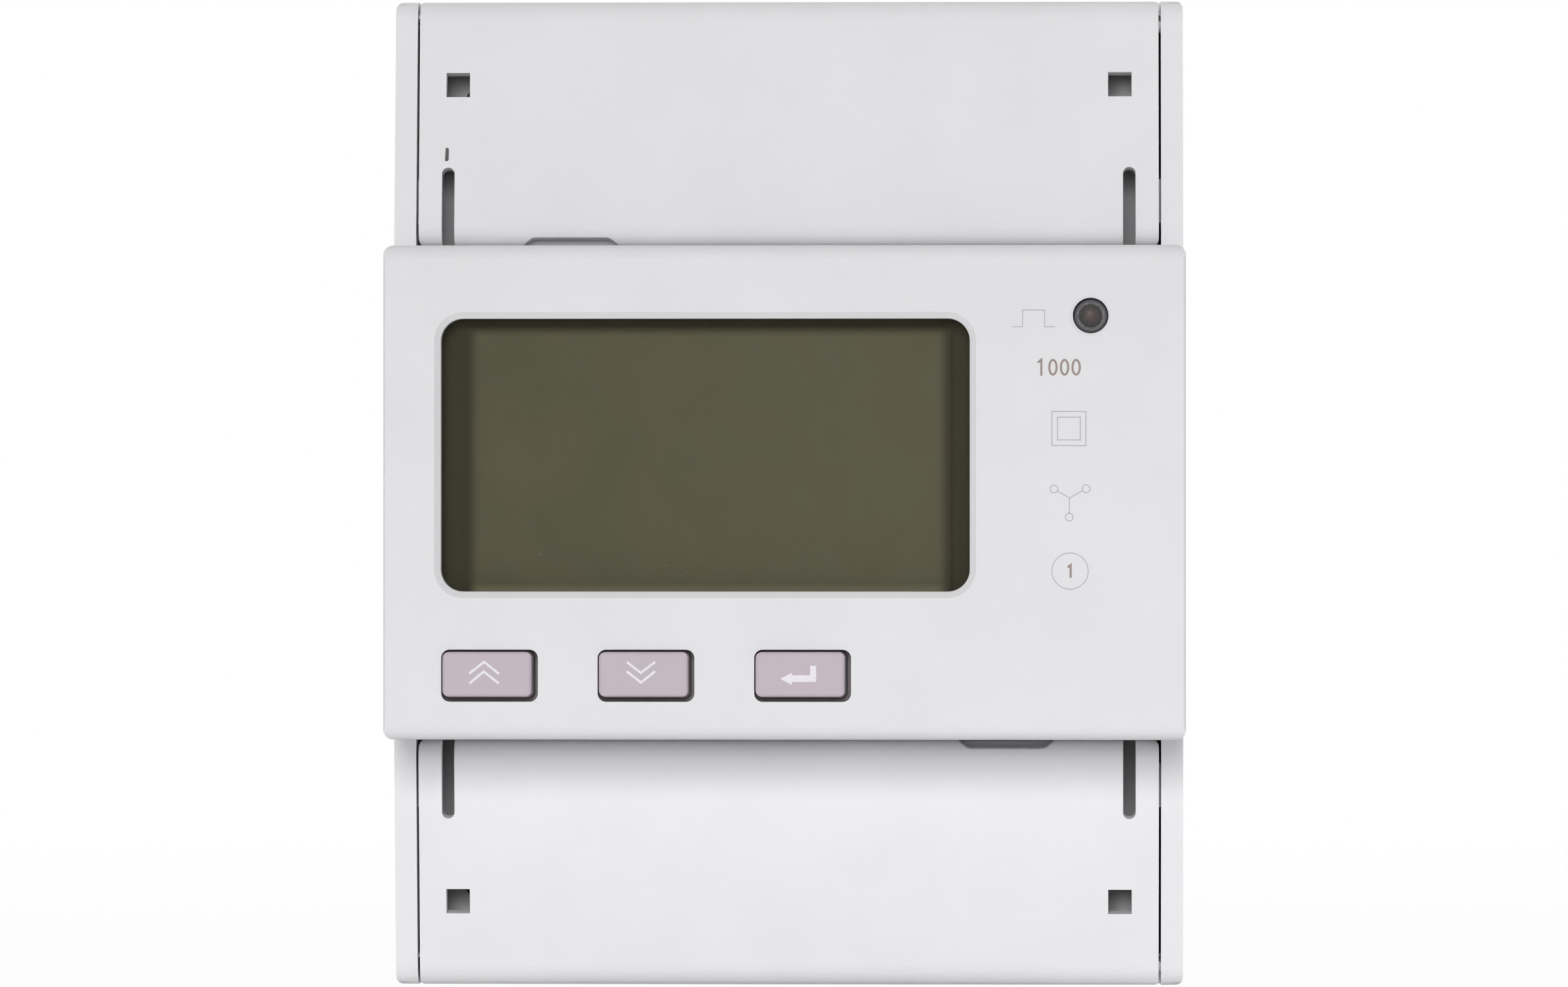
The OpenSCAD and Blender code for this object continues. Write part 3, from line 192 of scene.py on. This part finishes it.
def drawn_metal(name, colour, roughness, stretch, depth=0.004 * MM):
    """Metal with fine lines along one direction and a slight tarnish."""
    made = Shader(name, colour, roughness, Metallic=1.0)
    lines = made.noise(0.12 * MM, detail=3.0, stretch=stretch)
    stain = made.noise(2.5 * MM, detail=4.0)
    made.link(made.mix(made.ramp(stain, 0.35, 0.75, 0, 1), colour, shade(colour, 0.82)), "Base Color")
    made.link(made.ramp(lines, 0.2, 0.8, roughness - 0.08, roughness + 0.12), "Roughness")
    made.bump(lines, depth)
    return made


# Meshes

def new_piece(name, bm, body, shader, smooth_angle=BEVELS):
    """A mesh object that rides a body, in the shader's material."""
    mesh = bpy.data.meshes.new(name)
    bm.to_mesh(mesh)
    bm.free()
    mesh.shade_smooth()
    mesh.set_sharp_from_angle(angle=math.radians(smooth_angle))
    mesh.materials.append(shader.material)
    piece = bpy.data.objects.new(name, mesh)
    bpy.context.scene.collection.objects.link(piece)
    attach(piece, body)
    return piece


def point(x, y, z):
    return Vector((x * MM, y * MM, z * MM))


def add_loft(bm, rings, closed_ends=True):
    """Skins rings of points, each closed and with the same count."""
    made = [[bm.verts.new(p) for p in ring] for ring in rings]
    count = len(made[0])
    for lower, upper in zip(made, made[1:]):
        for i in range(count):
            j = (i + 1) % count
            bm.faces.new((lower[i], lower[j], upper[j], upper[i]))
    if closed_ends:
        bm.faces.new(list(reversed(made[0])))
        bm.faces.new(made[-1])
    return made


def add_outline(bm, outline, front, back):
    """A thin solid whose front is an outline in X and Z, in millimetres."""
    add_loft(bm, [[point(x, y, z) for x, z in outline] for y in (front, back)])


def add_line(bm, points, width, front, back, closed=False):
    """A printed line: a ribbon along points in X and Z, with mitred corners."""
    count = len(points)
    spots = [Vector(p) for p in points]
    left, right = [], []
    for i, spot in enumerate(spots):
        before = spots[i - 1] if i or closed else spot - (spots[1] - spot)
        after = spots[(i + 1) % count] if i < count - 1 or closed else spot + (spot - spots[i - 1])
        first, second = (spot - before).normalized(), (after - spot).normalized()
        normal = Vector((-first.y - second.y, first.x + second.x)).normalized()
        reach = width / 2 / max(0.35, normal.dot(Vector((-first.y, first.x))))
        left.append(spot + normal * reach)
        right.append(spot - normal * reach)
    rings = [[point(p.x, y, p.y) for p, y in ((a, front), (b, front), (b, back), (a, back))]
             for a, b in zip(left, right)]
    if closed:
        rings.append(rings[0])
    add_loft(bm, rings, closed_ends=not closed)


def circle(x, z, radius, count=32, squeeze=1.0):
    """Points round a circle in X and Z, made narrower by squeeze."""
    turn = 2 * math.pi / count
    return [(x + radius * squeeze * math.cos(i * turn), z + radius * math.sin(i * turn))
            for i in range(count)]


def finish_mesh(bm):
    bmesh.ops.remove_doubles(bm, verts=bm.verts, dist=1e-8)
    bmesh.ops.recalc_face_normals(bm, faces=bm.faces)


def dress(node, shader, bevel, body=ROOT, smooth_angle=BEVELS, move=None):
    """A node's own shape with small rounded edges, or none where bevel is 0, which stands for the node."""
    least, angle = 0.6 * MM, math.radians(40)
    bm = bmesh.new()
    bm.from_mesh(NODES[node].data)
    bmesh.ops.remove_doubles(bm, verts=bm.verts, dist=1e-6)
    bmesh.ops.dissolve_limit(bm, angle_limit=math.radians(0.4), verts=bm.verts, edges=bm.edges)
    if move:
        for vert in bm.verts:
            vert.co = move(vert.co)
    if bevel:
        sharp = [e for e in bm.edges
                 if len(e.link_faces) == 2 and e.calc_face_angle(0) > angle and e.calc_length() > least]
        bmesh.ops.bevel(bm, geom=sharp, offset=bevel, offset_type="OFFSET", segments=3, profile=0.5,
                        affect="EDGES", clamp_overlap=True)
    piece = new_piece(node + "_dressed", bm, body, shader, smooth_angle)
    weighted = piece.modifiers.new("even_faces", "WEIGHTED_NORMAL")
    weighted.keep_sharp = True
    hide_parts(node)


# Materials

WHITE = srgb(226, 226, 228)
housing = moulded("housing_plastic", WHITE, 0.6, Specular_IOR_Level=0.25)
# The panel is the housing's white made 7 % darker as painted shade
shaded_panel_plastic = moulded("shaded_panel_plastic", shade(WHITE, 0.93), 0.6, Specular_IOR_Level=0.25)
terminal = moulded("terminal_plastic", srgb(178, 178, 181), 0.6)
inner = moulded("inner_plastic", srgb(46, 46, 47), 0.55)
clip = moulded("clip_plastic", srgb(52, 52, 54), 0.5)
chip = moulded("chip_plastic", srgb(38, 38, 40), 0.6, grain=0.2 * MM)
socket = moulded("socket_plastic", srgb(62, 122, 78), 0.45)
tape = moulded("winding_tape", srgb(214, 190, 84), 0.4, cloud=0.05)
varistor = moulded("varistor_coat", srgb(60, 96, 150), 0.35, cloud=0.05)
backlight = moulded("backlight_plastic", srgb(238, 238, 232), 0.3)
ferrite = moulded("ferrite", srgb(66, 66, 70), 0.7, grain=0.15 * MM, cloud=0.06)
can = drawn_metal("capacitor_can", srgb(60, 74, 110), 0.4, (1, 12, 1))
screw_steel = drawn_metal("screw_steel", srgb(160, 160, 157), 0.36, (1, 1, 10))
cage_steel = drawn_metal("cage_steel", srgb(190, 186, 174), 0.36, (1, 12, 1))
battery_steel = drawn_metal("battery_steel", srgb(198, 198, 202), 0.28, (10, 1, 1))
spring_steel = drawn_metal("spring_steel", srgb(178, 180, 184), 0.25, (1, 1, 1))
pin_metal = drawn_metal("pin_metal", srgb(214, 184, 104), 0.3, (1, 8, 1))
copper = drawn_metal("copper_bar", srgb(200, 142, 100), 0.38, (1, 1, 0.08))


def board_material():
    """Solder mask with faint tracks under it."""
    mask = srgb(30, 104, 62)
    made = moulded("board_laminate", mask, 0.35, cloud=0.06)
    tracks = made.node("ShaderNodeTexBrick", offset=0.35)
    tracks.inputs["Scale"].default_value = 220
    tracks.inputs["Mortar Size"].default_value = 0.06
    tracks.inputs["Color1"].default_value = mask
    tracks.inputs["Color2"].default_value = srgb(26, 96, 56)
    tracks.inputs["Mortar"].default_value = srgb(58, 138, 84)
    turn = made.node("ShaderNodeMapping")
    turn.inputs["Rotation"].default_value = (math.pi / 2, 0, 0)
    made.tree.links.new(made.place(), turn.inputs["Vector"])
    made.tree.links.new(turn.outputs["Vector"], tracks.inputs["Vector"])
    made.link(tracks.outputs["Color"], "Base Color")
    return made


def film_material():
    """The display's olive film, which fades into the dark cell at its left, right and upper edges as painted
    shadow of the window's rim, and is lighter along its foot as painted light.
    """
    low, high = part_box("lcd_polariser")
    made = Shader("polariser_film", srgb(92, 89, 71), 0.6, Specular_IOR_Level=0.02)
    x, z = made.along("X"), made.along("Z")
    # The soft fades towards the cell's colour at the left, right and upper edges are painted shadow of the
    # window's rim
    left = made.ramp(x, low.x, low.x + 1.35 * MM, 0, 1)
    right = made.ramp(x, high.x, high.x - 1.4 * MM, 0, 1)
    top = made.ramp(z, high.z, high.z - 0.95 * MM, 0, 1)
    clear_of_rim_shade = made.math("MULTIPLY", made.math("MULTIPLY", left, right), top)
    across = made.ramp(x, low.x, high.x, 0, 1)
    cloud = made.ramp(made.noise(7 * MM, detail=4.0), 0.35, 0.7, 0, 1)
    film = made.mix(across, srgb(88, 87, 69), srgb(94, 93, 75))
    film = made.mix(cloud, film, srgb(95, 89, 72))
    # Lighter along the film's foot: painted light
    foot = made.ramp(z, (WINDOW_FOOT + 0.9) * MM, WINDOW_FOOT * MM, 0, 1)
    film = made.mix(foot, film, srgb(119, 115, 93))
    grains = made.noise(0.13 * MM, detail=3.0)
    film = made.mix(made.ramp(grains, 0.52, 0.76, 0, 0.6), film, srgb(108, 104, 85))
    made.link(made.mix(clear_of_rim_shade, CELL_AND_RIM_SHADE, film), "Base Color")
    made.bump(grains, 0.002 * MM)
    return made


def window_material():
    """Clear coated window with a little tint and fine dust on it."""
    tint = srgb(70, 68, 54)
    made = Shader("window_plastic", tint, 0.12, IOR=1.49, Specular_IOR_Level=0.03)
    dust = made.specks(2.4 * MM, 0.07 * MM)
    made.link(made.mix(dust, tint, srgb(170, 168, 158)), "Base Color")
    made.link(made.math("ADD", made.math("MULTIPLY", dust, 0.4), 0.04), "Alpha")
    return made


def lamp_material():
    """Dark tinted lamp: a brown middle, a paler ring that is a painted highlight with painted glints in it,
    an edge darkened as painted shade of the hole, and a fine grain.
    """
    made = Shader("lamp_plastic", srgb(80, 78, 78), 0.35, IOR=1.5, Specular_IOR_Level=0.12)
    x = made.math("SUBTRACT", made.along("X"), LAMP[0] * MM)
    z = made.math("SUBTRACT", made.along("Z"), LAMP[1] * MM)
    away = made.math("SQRT", made.math("ADD", made.math("MULTIPLY", x, x), made.math("MULTIPLY", z, z)), 0)
    tone = made.mix(made.ramp(away, 0.1 * MM, 0.75 * MM, 0, 1), srgb(86, 72, 67), srgb(75, 72, 72))
    # The ring's paler colour and its lighter patches are a painted highlight and painted glints on the
    # lens's ridge
    patches = made.ramp(made.noise(0.3 * MM, detail=3.0), 0.4, 0.65, 0, 1)
    ring = made.mix(patches, srgb(94, 94, 97), srgb(130, 129, 132))
    tone = made.mix(made.ramp(away, 1.0 * MM, 1.1 * MM, 0, 1), tone, ring)
    tone = made.mix(made.ramp(away, 1.16 * MM, 1.28 * MM, 0, 1), tone, srgb(90, 90, 93))
    # Darker towards the rim: painted shade where the lens sits deep in the panel's hole
    tone = made.mix(made.ramp(away, 1.3 * MM, 1.5 * MM, 0, 1), tone, srgb(70, 70, 73))
    grains = made.noise(0.08 * MM, detail=3.0)
    tone = made.mix(made.ramp(grains, 0.56, 0.74, 0, 0.5), tone, srgb(134, 130, 128))
    made.link(tone, "Base Color")
    made.bump(grains, 0.01 * MM)
    return made


def key_material():
    """The keys' plastic, whose colour darkens deeper into the panel's gaps as painted shade."""
    face, side = srgb(189, 177, 186), srgb(138, 131, 133)
    made = Shader("key_plastic", face, 0.6, Specular_IOR_Level=0.1)
    # Darker deeper in the panel's gaps: painted shade
    gap_shade = made.ramp(made.along("Y"), (KEY_FACE + 0.4) * MM, (KEY_FACE + 2.4) * MM, 0, 1)
    made.link(made.mix(gap_shade, face, side), "Base Color")
    made.bump(made.noise(0.5 * MM), 0.008 * MM)
    return made


def ink(name, colour):
    """Printed ink, a little uneven."""
    made = Shader(name, colour, 0.6, Specular_IOR_Level=0.2)
    patches = made.noise(0.15 * MM, detail=3.0)
    tone = made.mix(made.ramp(patches, 0.35, 0.65, 0, 1), shade(colour, 0.94), shade(colour, 1.06))
    made.link(tone, "Base Color")
    return made


# The cell's dark olive is partly its own colour and partly painted shadow of the window's rim on the display
CELL_AND_RIM_SHADE = srgb(61, 58, 45)
board = board_material()
key_plastic = key_material()
film = film_material()
cell = moulded("display_glass", CELL_AND_RIM_SHADE, 0.5, depth=0.001 * MM, Specular_IOR_Level=0.03)
window = window_material()
lamp = lamp_material()
line_ink = ink("line_ink", srgb(172, 171, 177))
number_ink = ink("number_ink", srgb(150, 136, 131))
sign_ink = ink("sign_ink", srgb(226, 222, 229))
nick_shade = ink("nick_shade", srgb(84, 84, 84))


# The CAD nodes that stay as they are

PLAIN = {
    "display_window": window, "lcd_polariser": film, "lcd_cell": cell, "lcd_backlight": backlight,
    "lcd_holder": inner, "lcd_pins": pin_metal, "display_board": board, "display_board_screws": screw_steel,
    "display_chips": chip, "backup_battery": battery_steel, "led_spacer": inner, "led_leads": pin_metal,
    "key_switches": inner, "board_header": inner, "header_pins": pin_metal, "header_socket": inner,
    "measuring_board": board, "measuring_board_screws": screw_steel, "metering_chips": chip,
    "supply_transformer": ferrite, "transformer_winding": tape, "filter_capacitors": can,
    "surge_varistors": varistor, "current_transformers": chip, "voltage_taps": pin_metal,
    "busbars": copper, "signal_pins": pin_metal,
}
KEYS = ("key_up", "key_down", "key_enter")
for key in KEYS:
    PLAIN["switch_plunger_" + key] = inner
for node, shader in PLAIN.items():
    slots = NODES[node].data.materials
    slots.clear()
    slots.append(shader.material)


# The shells and fittings, with their edges rounded where the edges' lengths leave room

def sink_face(co):
    """Lowers a key's face a little, so that its printed sign ends where the key does."""
    reach = 0.3 * MM
    share = max(0, 1 - (co.y - KEY_FACE * MM) / reach)
    return Vector((co.x, co.y + share * INK_T * MM, co.z))


dress("base_housing", housing, 0.3 * MM)
dress("front_panel", shaded_panel_plastic, 0, smooth_angle=FINE_FACETS)
for cover in ("upper_cover", "lower_cover"):
    dress(cover, housing, 0, body=cover, smooth_angle=COVER_FACETS)
for key in KEYS:
    dress(key, key_plastic, 0, body=key, smooth_angle=FINE_FACETS, move=sink_face)
dress("din_clip", clip, 0.2 * MM, body="din_clip")
for end in ("upper", "lower"):
    dress(end + "_terminal_block", terminal, 0.15 * MM)
dress("signal_socket", socket, 0.12 * MM)
for number in range(1, 9):
    cage, screw = f"terminal_cage_{number}", f"terminal_screw_{number}"
    dress(cage, cage_steel, 0.12 * MM, body=cage)
    dress(screw, screw_steel, 0.1 * MM, body=screw)


# The pulse lamp's lens

def lamp_lens():
    """A turned profile: stepped rim, ring and small dome, with the foot behind."""
    profile = [(0.0, -59.1), (0.38, -59.06), (0.76, -58.94), (1.01, -58.78), (1.07, -58.74), (1.13, -58.76),
               (1.19, -58.8), (1.4, -58.8), (1.5, -58.76), (1.56, -58.66), (1.57, -58.5), (1.57, -54.1),
               (1.9, -54.1), (1.9, -53.1)]
    sides = 48
    bm = bmesh.new()
    rings = []
    for radius, y in profile[1:]:
        rings.append([point(x, y, z) for x, z in circle(*LAMP, radius, sides)])
    made = add_loft(bm, rings, closed_ends=False)
    tip = bm.verts.new(point(LAMP[0], profile[0][1], LAMP[1]))
    for i in range(sides):
        bm.faces.new((tip, made[0][(i + 1) % sides], made[0][i]))
    bm.faces.new(made[-1])
    finish_mesh(bm)
    piece = new_piece("pulse_lamp_lens", bm, ROOT, lamp)
    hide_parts("pulse_led")


lamp_lens()


# The rail clip's spring

def rail_clip_coil():
    """A round wire wound as the solid is, with flat closed ends."""
    low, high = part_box("din_clip_spring")
    wire, turns, steps, sides = 0.25 * MM, 6, 40, 12
    radius = (high.x - low.x) / 2 - wire
    middle = (low + high) / 2
    length = high.z - low.z - 2 * wire
    count = turns * steps
    path = []
    for i in range(count + 1):
        turn = 2 * math.pi * i / steps
        rise = low.z + wire + length * min(1, max(0, (i - steps / 2) / (count - steps)))
        path.append(Vector((middle.x + radius * math.cos(turn), middle.y + radius * math.sin(turn), rise)))
    rings = []
    for i, spot in enumerate(path):
        along = (path[min(i + 1, count)] - path[max(i - 1, 0)]).normalized()
        out = Vector((spot.x - middle.x, spot.y - middle.y, 0)).normalized()
        across = along.cross(out).normalized()
        side = across.cross(along)
        rings.append([spot + wire * (math.cos(t) * side + math.sin(t) * across)
                      for t in (2 * math.pi * k / sides for k in range(sides))])
    bm = bmesh.new()
    add_loft(bm, rings)
    finish_mesh(bm)
    piece = new_piece("rail_clip_coil", bm, ROOT, spring_steel)
    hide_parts("din_clip_spring")
    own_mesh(piece)


rail_clip_coil()


# Printed lines on the panel

def panel_signs():
    """The pulse wave, the nested squares, the three-way star and a ring."""
    front, back, width = PANEL_FACE - INK_T, PANEL_FACE + INK_T, 0.075
    bm = bmesh.new()
    base, top = 14.82, 16.32
    wave = [(20.46, base), (21.39, base), (21.39, top), (23.36, top), (23.36, base), (24.30, base)]
    add_line(bm, wave, width, front, back)
    x, z = 25.53, 5.716
    for half in (1.526, 1.02):
        square = [(x + sx * half, z + sz * half) for sx, sz in ((-1, -1), (1, -1), (1, 1), (-1, 1))]
        add_line(bm, square, width, front, back, closed=True)
    hub, ring_r = (25.58, -0.508), 0.345
    for x, z in ((24.20, 0.304), (27.08, 0.327), (25.56, -2.227)):
        add_line(bm, circle(x, z, ring_r), width, front, back, closed=True)
        away = Vector((hub[0] - x, hub[1] - z)).normalized() * ring_r
        add_line(bm, [(x + away.x, z + away.y), hub], width, front, back)
    add_line(bm, circle(25.63, -7.05, 1.625, 64), width, front, back, closed=True)
    finish_mesh(bm)
    new_piece("panel_signs", bm, ROOT, line_ink)


def add_digit(bm, digit, x, z, height, width):
    """A printed 0 or 1 round a place on the panel."""
    front, back, half = PANEL_FACE - INK_T, PANEL_FACE + INK_T, height / 2
    if digit == 0:
        add_line(bm, circle(x, z, half - width / 2, 28, squeeze=0.5), width, front, back, closed=True)
    else:
        flag = height * 0.22
        strokes = [(x - flag, z + half - flag), (x, z + half - width / 3), (x, z - half)]
        add_line(bm, strokes, width, front, back)


def panel_numbers():
    """Plain numbers under the lamp and in the ring."""
    bm = bmesh.new()
    height, pitch, width = 1.5, 1.04, 0.19
    for i, digit in enumerate((1, 0, 0, 0)):
        add_digit(bm, digit, 24.62 + (i - 1.5) * pitch, 11.2, height, width)
    add_digit(bm, 1, 25.68, -7.05, 1.2, width)
    finish_mesh(bm)
    new_piece("panel_numbers", bm, ROOT, number_ink)


panel_signs()
panel_numbers()


# Printed signs on the keys

SIGN_W = 0.215
CHEVRONS = {
    "key_up": (((-28.226, -16.24), (-26.88, -15.196), (-25.538, -16.266)),
               ((-28.191, -17.107), (-26.917, -16.061), (-25.573, -17.107))),
    "key_down": (((-14.065, -15.196), (-12.82, -16.166), (-11.546, -15.196)),
                 ((-14.094, -16.032), (-12.802, -17.037), (-11.546, -16.032))),
}
ARROW = ((-0.324, -16.704), (0.716, -16.131), (0.716, -16.371), (2.358, -16.371), (2.358, -15.529),
         (2.896, -15.529), (2.896, -16.973), (0.716, -16.973), (0.716, -17.241))


def key_sign(key):
    """Chevrons or an arrow that ride their key."""
    bm = bmesh.new()
    front, back = KEY_FACE, KEY_FACE + 2 * INK_T
    if key in CHEVRONS:
        for line in CHEVRONS[key]:
            add_line(bm, line, SIGN_W, front, back)
    else:
        add_outline(bm, ARROW, front, back)
    finish_mesh(bm)
    new_piece(key + "_sign", bm, key, sign_ink)


for key in KEYS:
    key_sign(key)


# A small nick in the upper cover's face, drawn as its painted shade

def cover_nick():
    """A thin dark sliver of painted shade that lies in the leaning face."""
    outline = [(-31.36, 31.50), (-31.22, 31.56), (-31.06, 31.46),
               (-31.08, 30.42), (-31.26, 30.30), (-31.42, 30.36)]
    rings = []
    for lift in (-INK_T, INK_T):
        rings.append([point(x, COVER_TOP_Y + (z - COVER_TOP_Z) * COVER_SLOPE + lift, z) for x, z in outline])
    bm = bmesh.new()
    add_loft(bm, rings)
    finish_mesh(bm)
    new_piece("cover_nick", bm, "upper_cover", nick_shade)


cover_nick()


# The stage: floor, surroundings, lamps and camera. The floor leaves room for the open lower cover

FLOOR_Z = -0.0522
FLOOR_GLOW = 0.92
CAMERA_PLACE = (0.0222, -0.868, -0.003)
CAMERA_TARGET = (0.0, PANEL_FACE * MM, -0.0001)
CAMERA_LENS = 207.0


def background_ray(tree):
    """1 for rays that see the background itself: from the camera, in a gloss or through glass."""
    path = tree.nodes.new("ShaderNodeLightPath")
    total = path.outputs["Is Camera Ray"]
    for kind in ("Is Glossy Ray", "Is Transmission Ray"):
        larger = tree.nodes.new("ShaderNodeMath")
        larger.operation = "MAXIMUM"
        tree.links.new(total, larger.inputs[0])
        tree.links.new(path.outputs[kind], larger.inputs[1])
        total = larger.outputs["Value"]
    return total


def make_world(ambient):
    """White to the eye and a faint even light on the object."""
    world = bpy.data.worlds.new("studio")
    world.use_nodes = True
    bpy.context.scene.world = world
    tree = world.node_tree
    tree.nodes.clear()
    out = tree.nodes.new("ShaderNodeOutputWorld")
    chosen = tree.nodes.new("ShaderNodeMixShader")
    tree.links.new(background_ray(tree), chosen.inputs["Fac"])
    for slot, strength in ((1, ambient), (2, 1.0)):
        light = tree.nodes.new("ShaderNodeBackground")
        light.inputs["Color"].default_value = (1, 1, 1, 1)
        light.inputs["Strength"].default_value = strength
        tree.links.new(light.outputs["Background"], chosen.inputs[slot])
    tree.links.new(chosen.outputs["Shader"], out.inputs["Surface"])


def make_floor(height, half, near, far):
    """A pale floor that looks white far away and keeps a faint shadow near the object."""
    mesh = bpy.data.meshes.new("floor")
    corners = [(sx * half, sy * half, height) for sx, sy in ((-1, -1), (1, -1), (1, 1), (-1, 1))]
    mesh.from_pydata(corners, [], [(0, 1, 2, 3)])
    made = Shader("floor", (0.9, 0.9, 0.9, 1), 0.9)
    tree = made.tree
    away = made.node("ShaderNodeVectorMath", operation="LENGTH")
    tree.links.new(made.place(), away.inputs[0])
    share = made.ramp(away.outputs["Value"], near, far, FLOOR_GLOW, 1.0)
    glow = made.node("ShaderNodeEmission")
    mixed = made.node("ShaderNodeMixShader")
    tree.links.new(made.math("MULTIPLY", background_ray(tree), share), mixed.inputs["Fac"])
    tree.links.new(made.principled.outputs["BSDF"], mixed.inputs[1])
    tree.links.new(glow.outputs["Emission"], mixed.inputs[2])
    tree.links.new(mixed.outputs["Shader"], tree.nodes["Material Output"].inputs["Surface"])
    mesh.materials.append(made.material)
    floor = bpy.data.objects.new("floor", mesh)
    bpy.context.scene.collection.objects.link(floor)


def aim(thing, place, target):
    thing.location = place
    thing.rotation_euler = (Vector(target) - Vector(place)).to_track_quat("-Z", "Y").to_euler()


def add_lamp(name, kind, place, target, power, **settings):
    data = bpy.data.lights.new(name, kind)
    data.energy = power
    for key, value in settings.items():
        setattr(data, key, value)
    made = bpy.data.objects.new(name, data)
    bpy.context.scene.collection.objects.link(made)
    aim(made, place, target)


def make_camera():
    """Straight in front, a little to the right, as far away as the photograph's perspective says."""
    data = bpy.data.cameras.new("camera")
    data.sensor_width = 36
    data.lens = CAMERA_LENS
    made = bpy.data.objects.new("camera", data)
    bpy.context.scene.collection.objects.link(made)
    aim(made, CAMERA_PLACE, CAMERA_TARGET)
    bpy.context.scene.camera = made


make_world(ambient=0.15)
make_floor(FLOOR_Z, half=3.0, near=0.1, far=0.6)
add_lamp("key_lamp", "SPOT", (-0.05, -1.25, 0.22), (0, -0.95, FLOOR_Z), power=66,
         spot_size=math.radians(100), spot_blend=1.0, shadow_soft_size=0.26)
add_lamp("top_lamp", "AREA", (0, 0.1, 1.2), (0, 0, 0), power=3.8, shape="DISK", size=0.8)
for side in (-1, 1):
    add_lamp(f"back_lamp_{side + 2}", "AREA", (0.9 * side, 0.75, 0.5), (0, 0, 0), power=4.5,
             shape="DISK", size=0.7)
make_camera()
bpy.context.scene.view_settings.view_transform = "Standard"
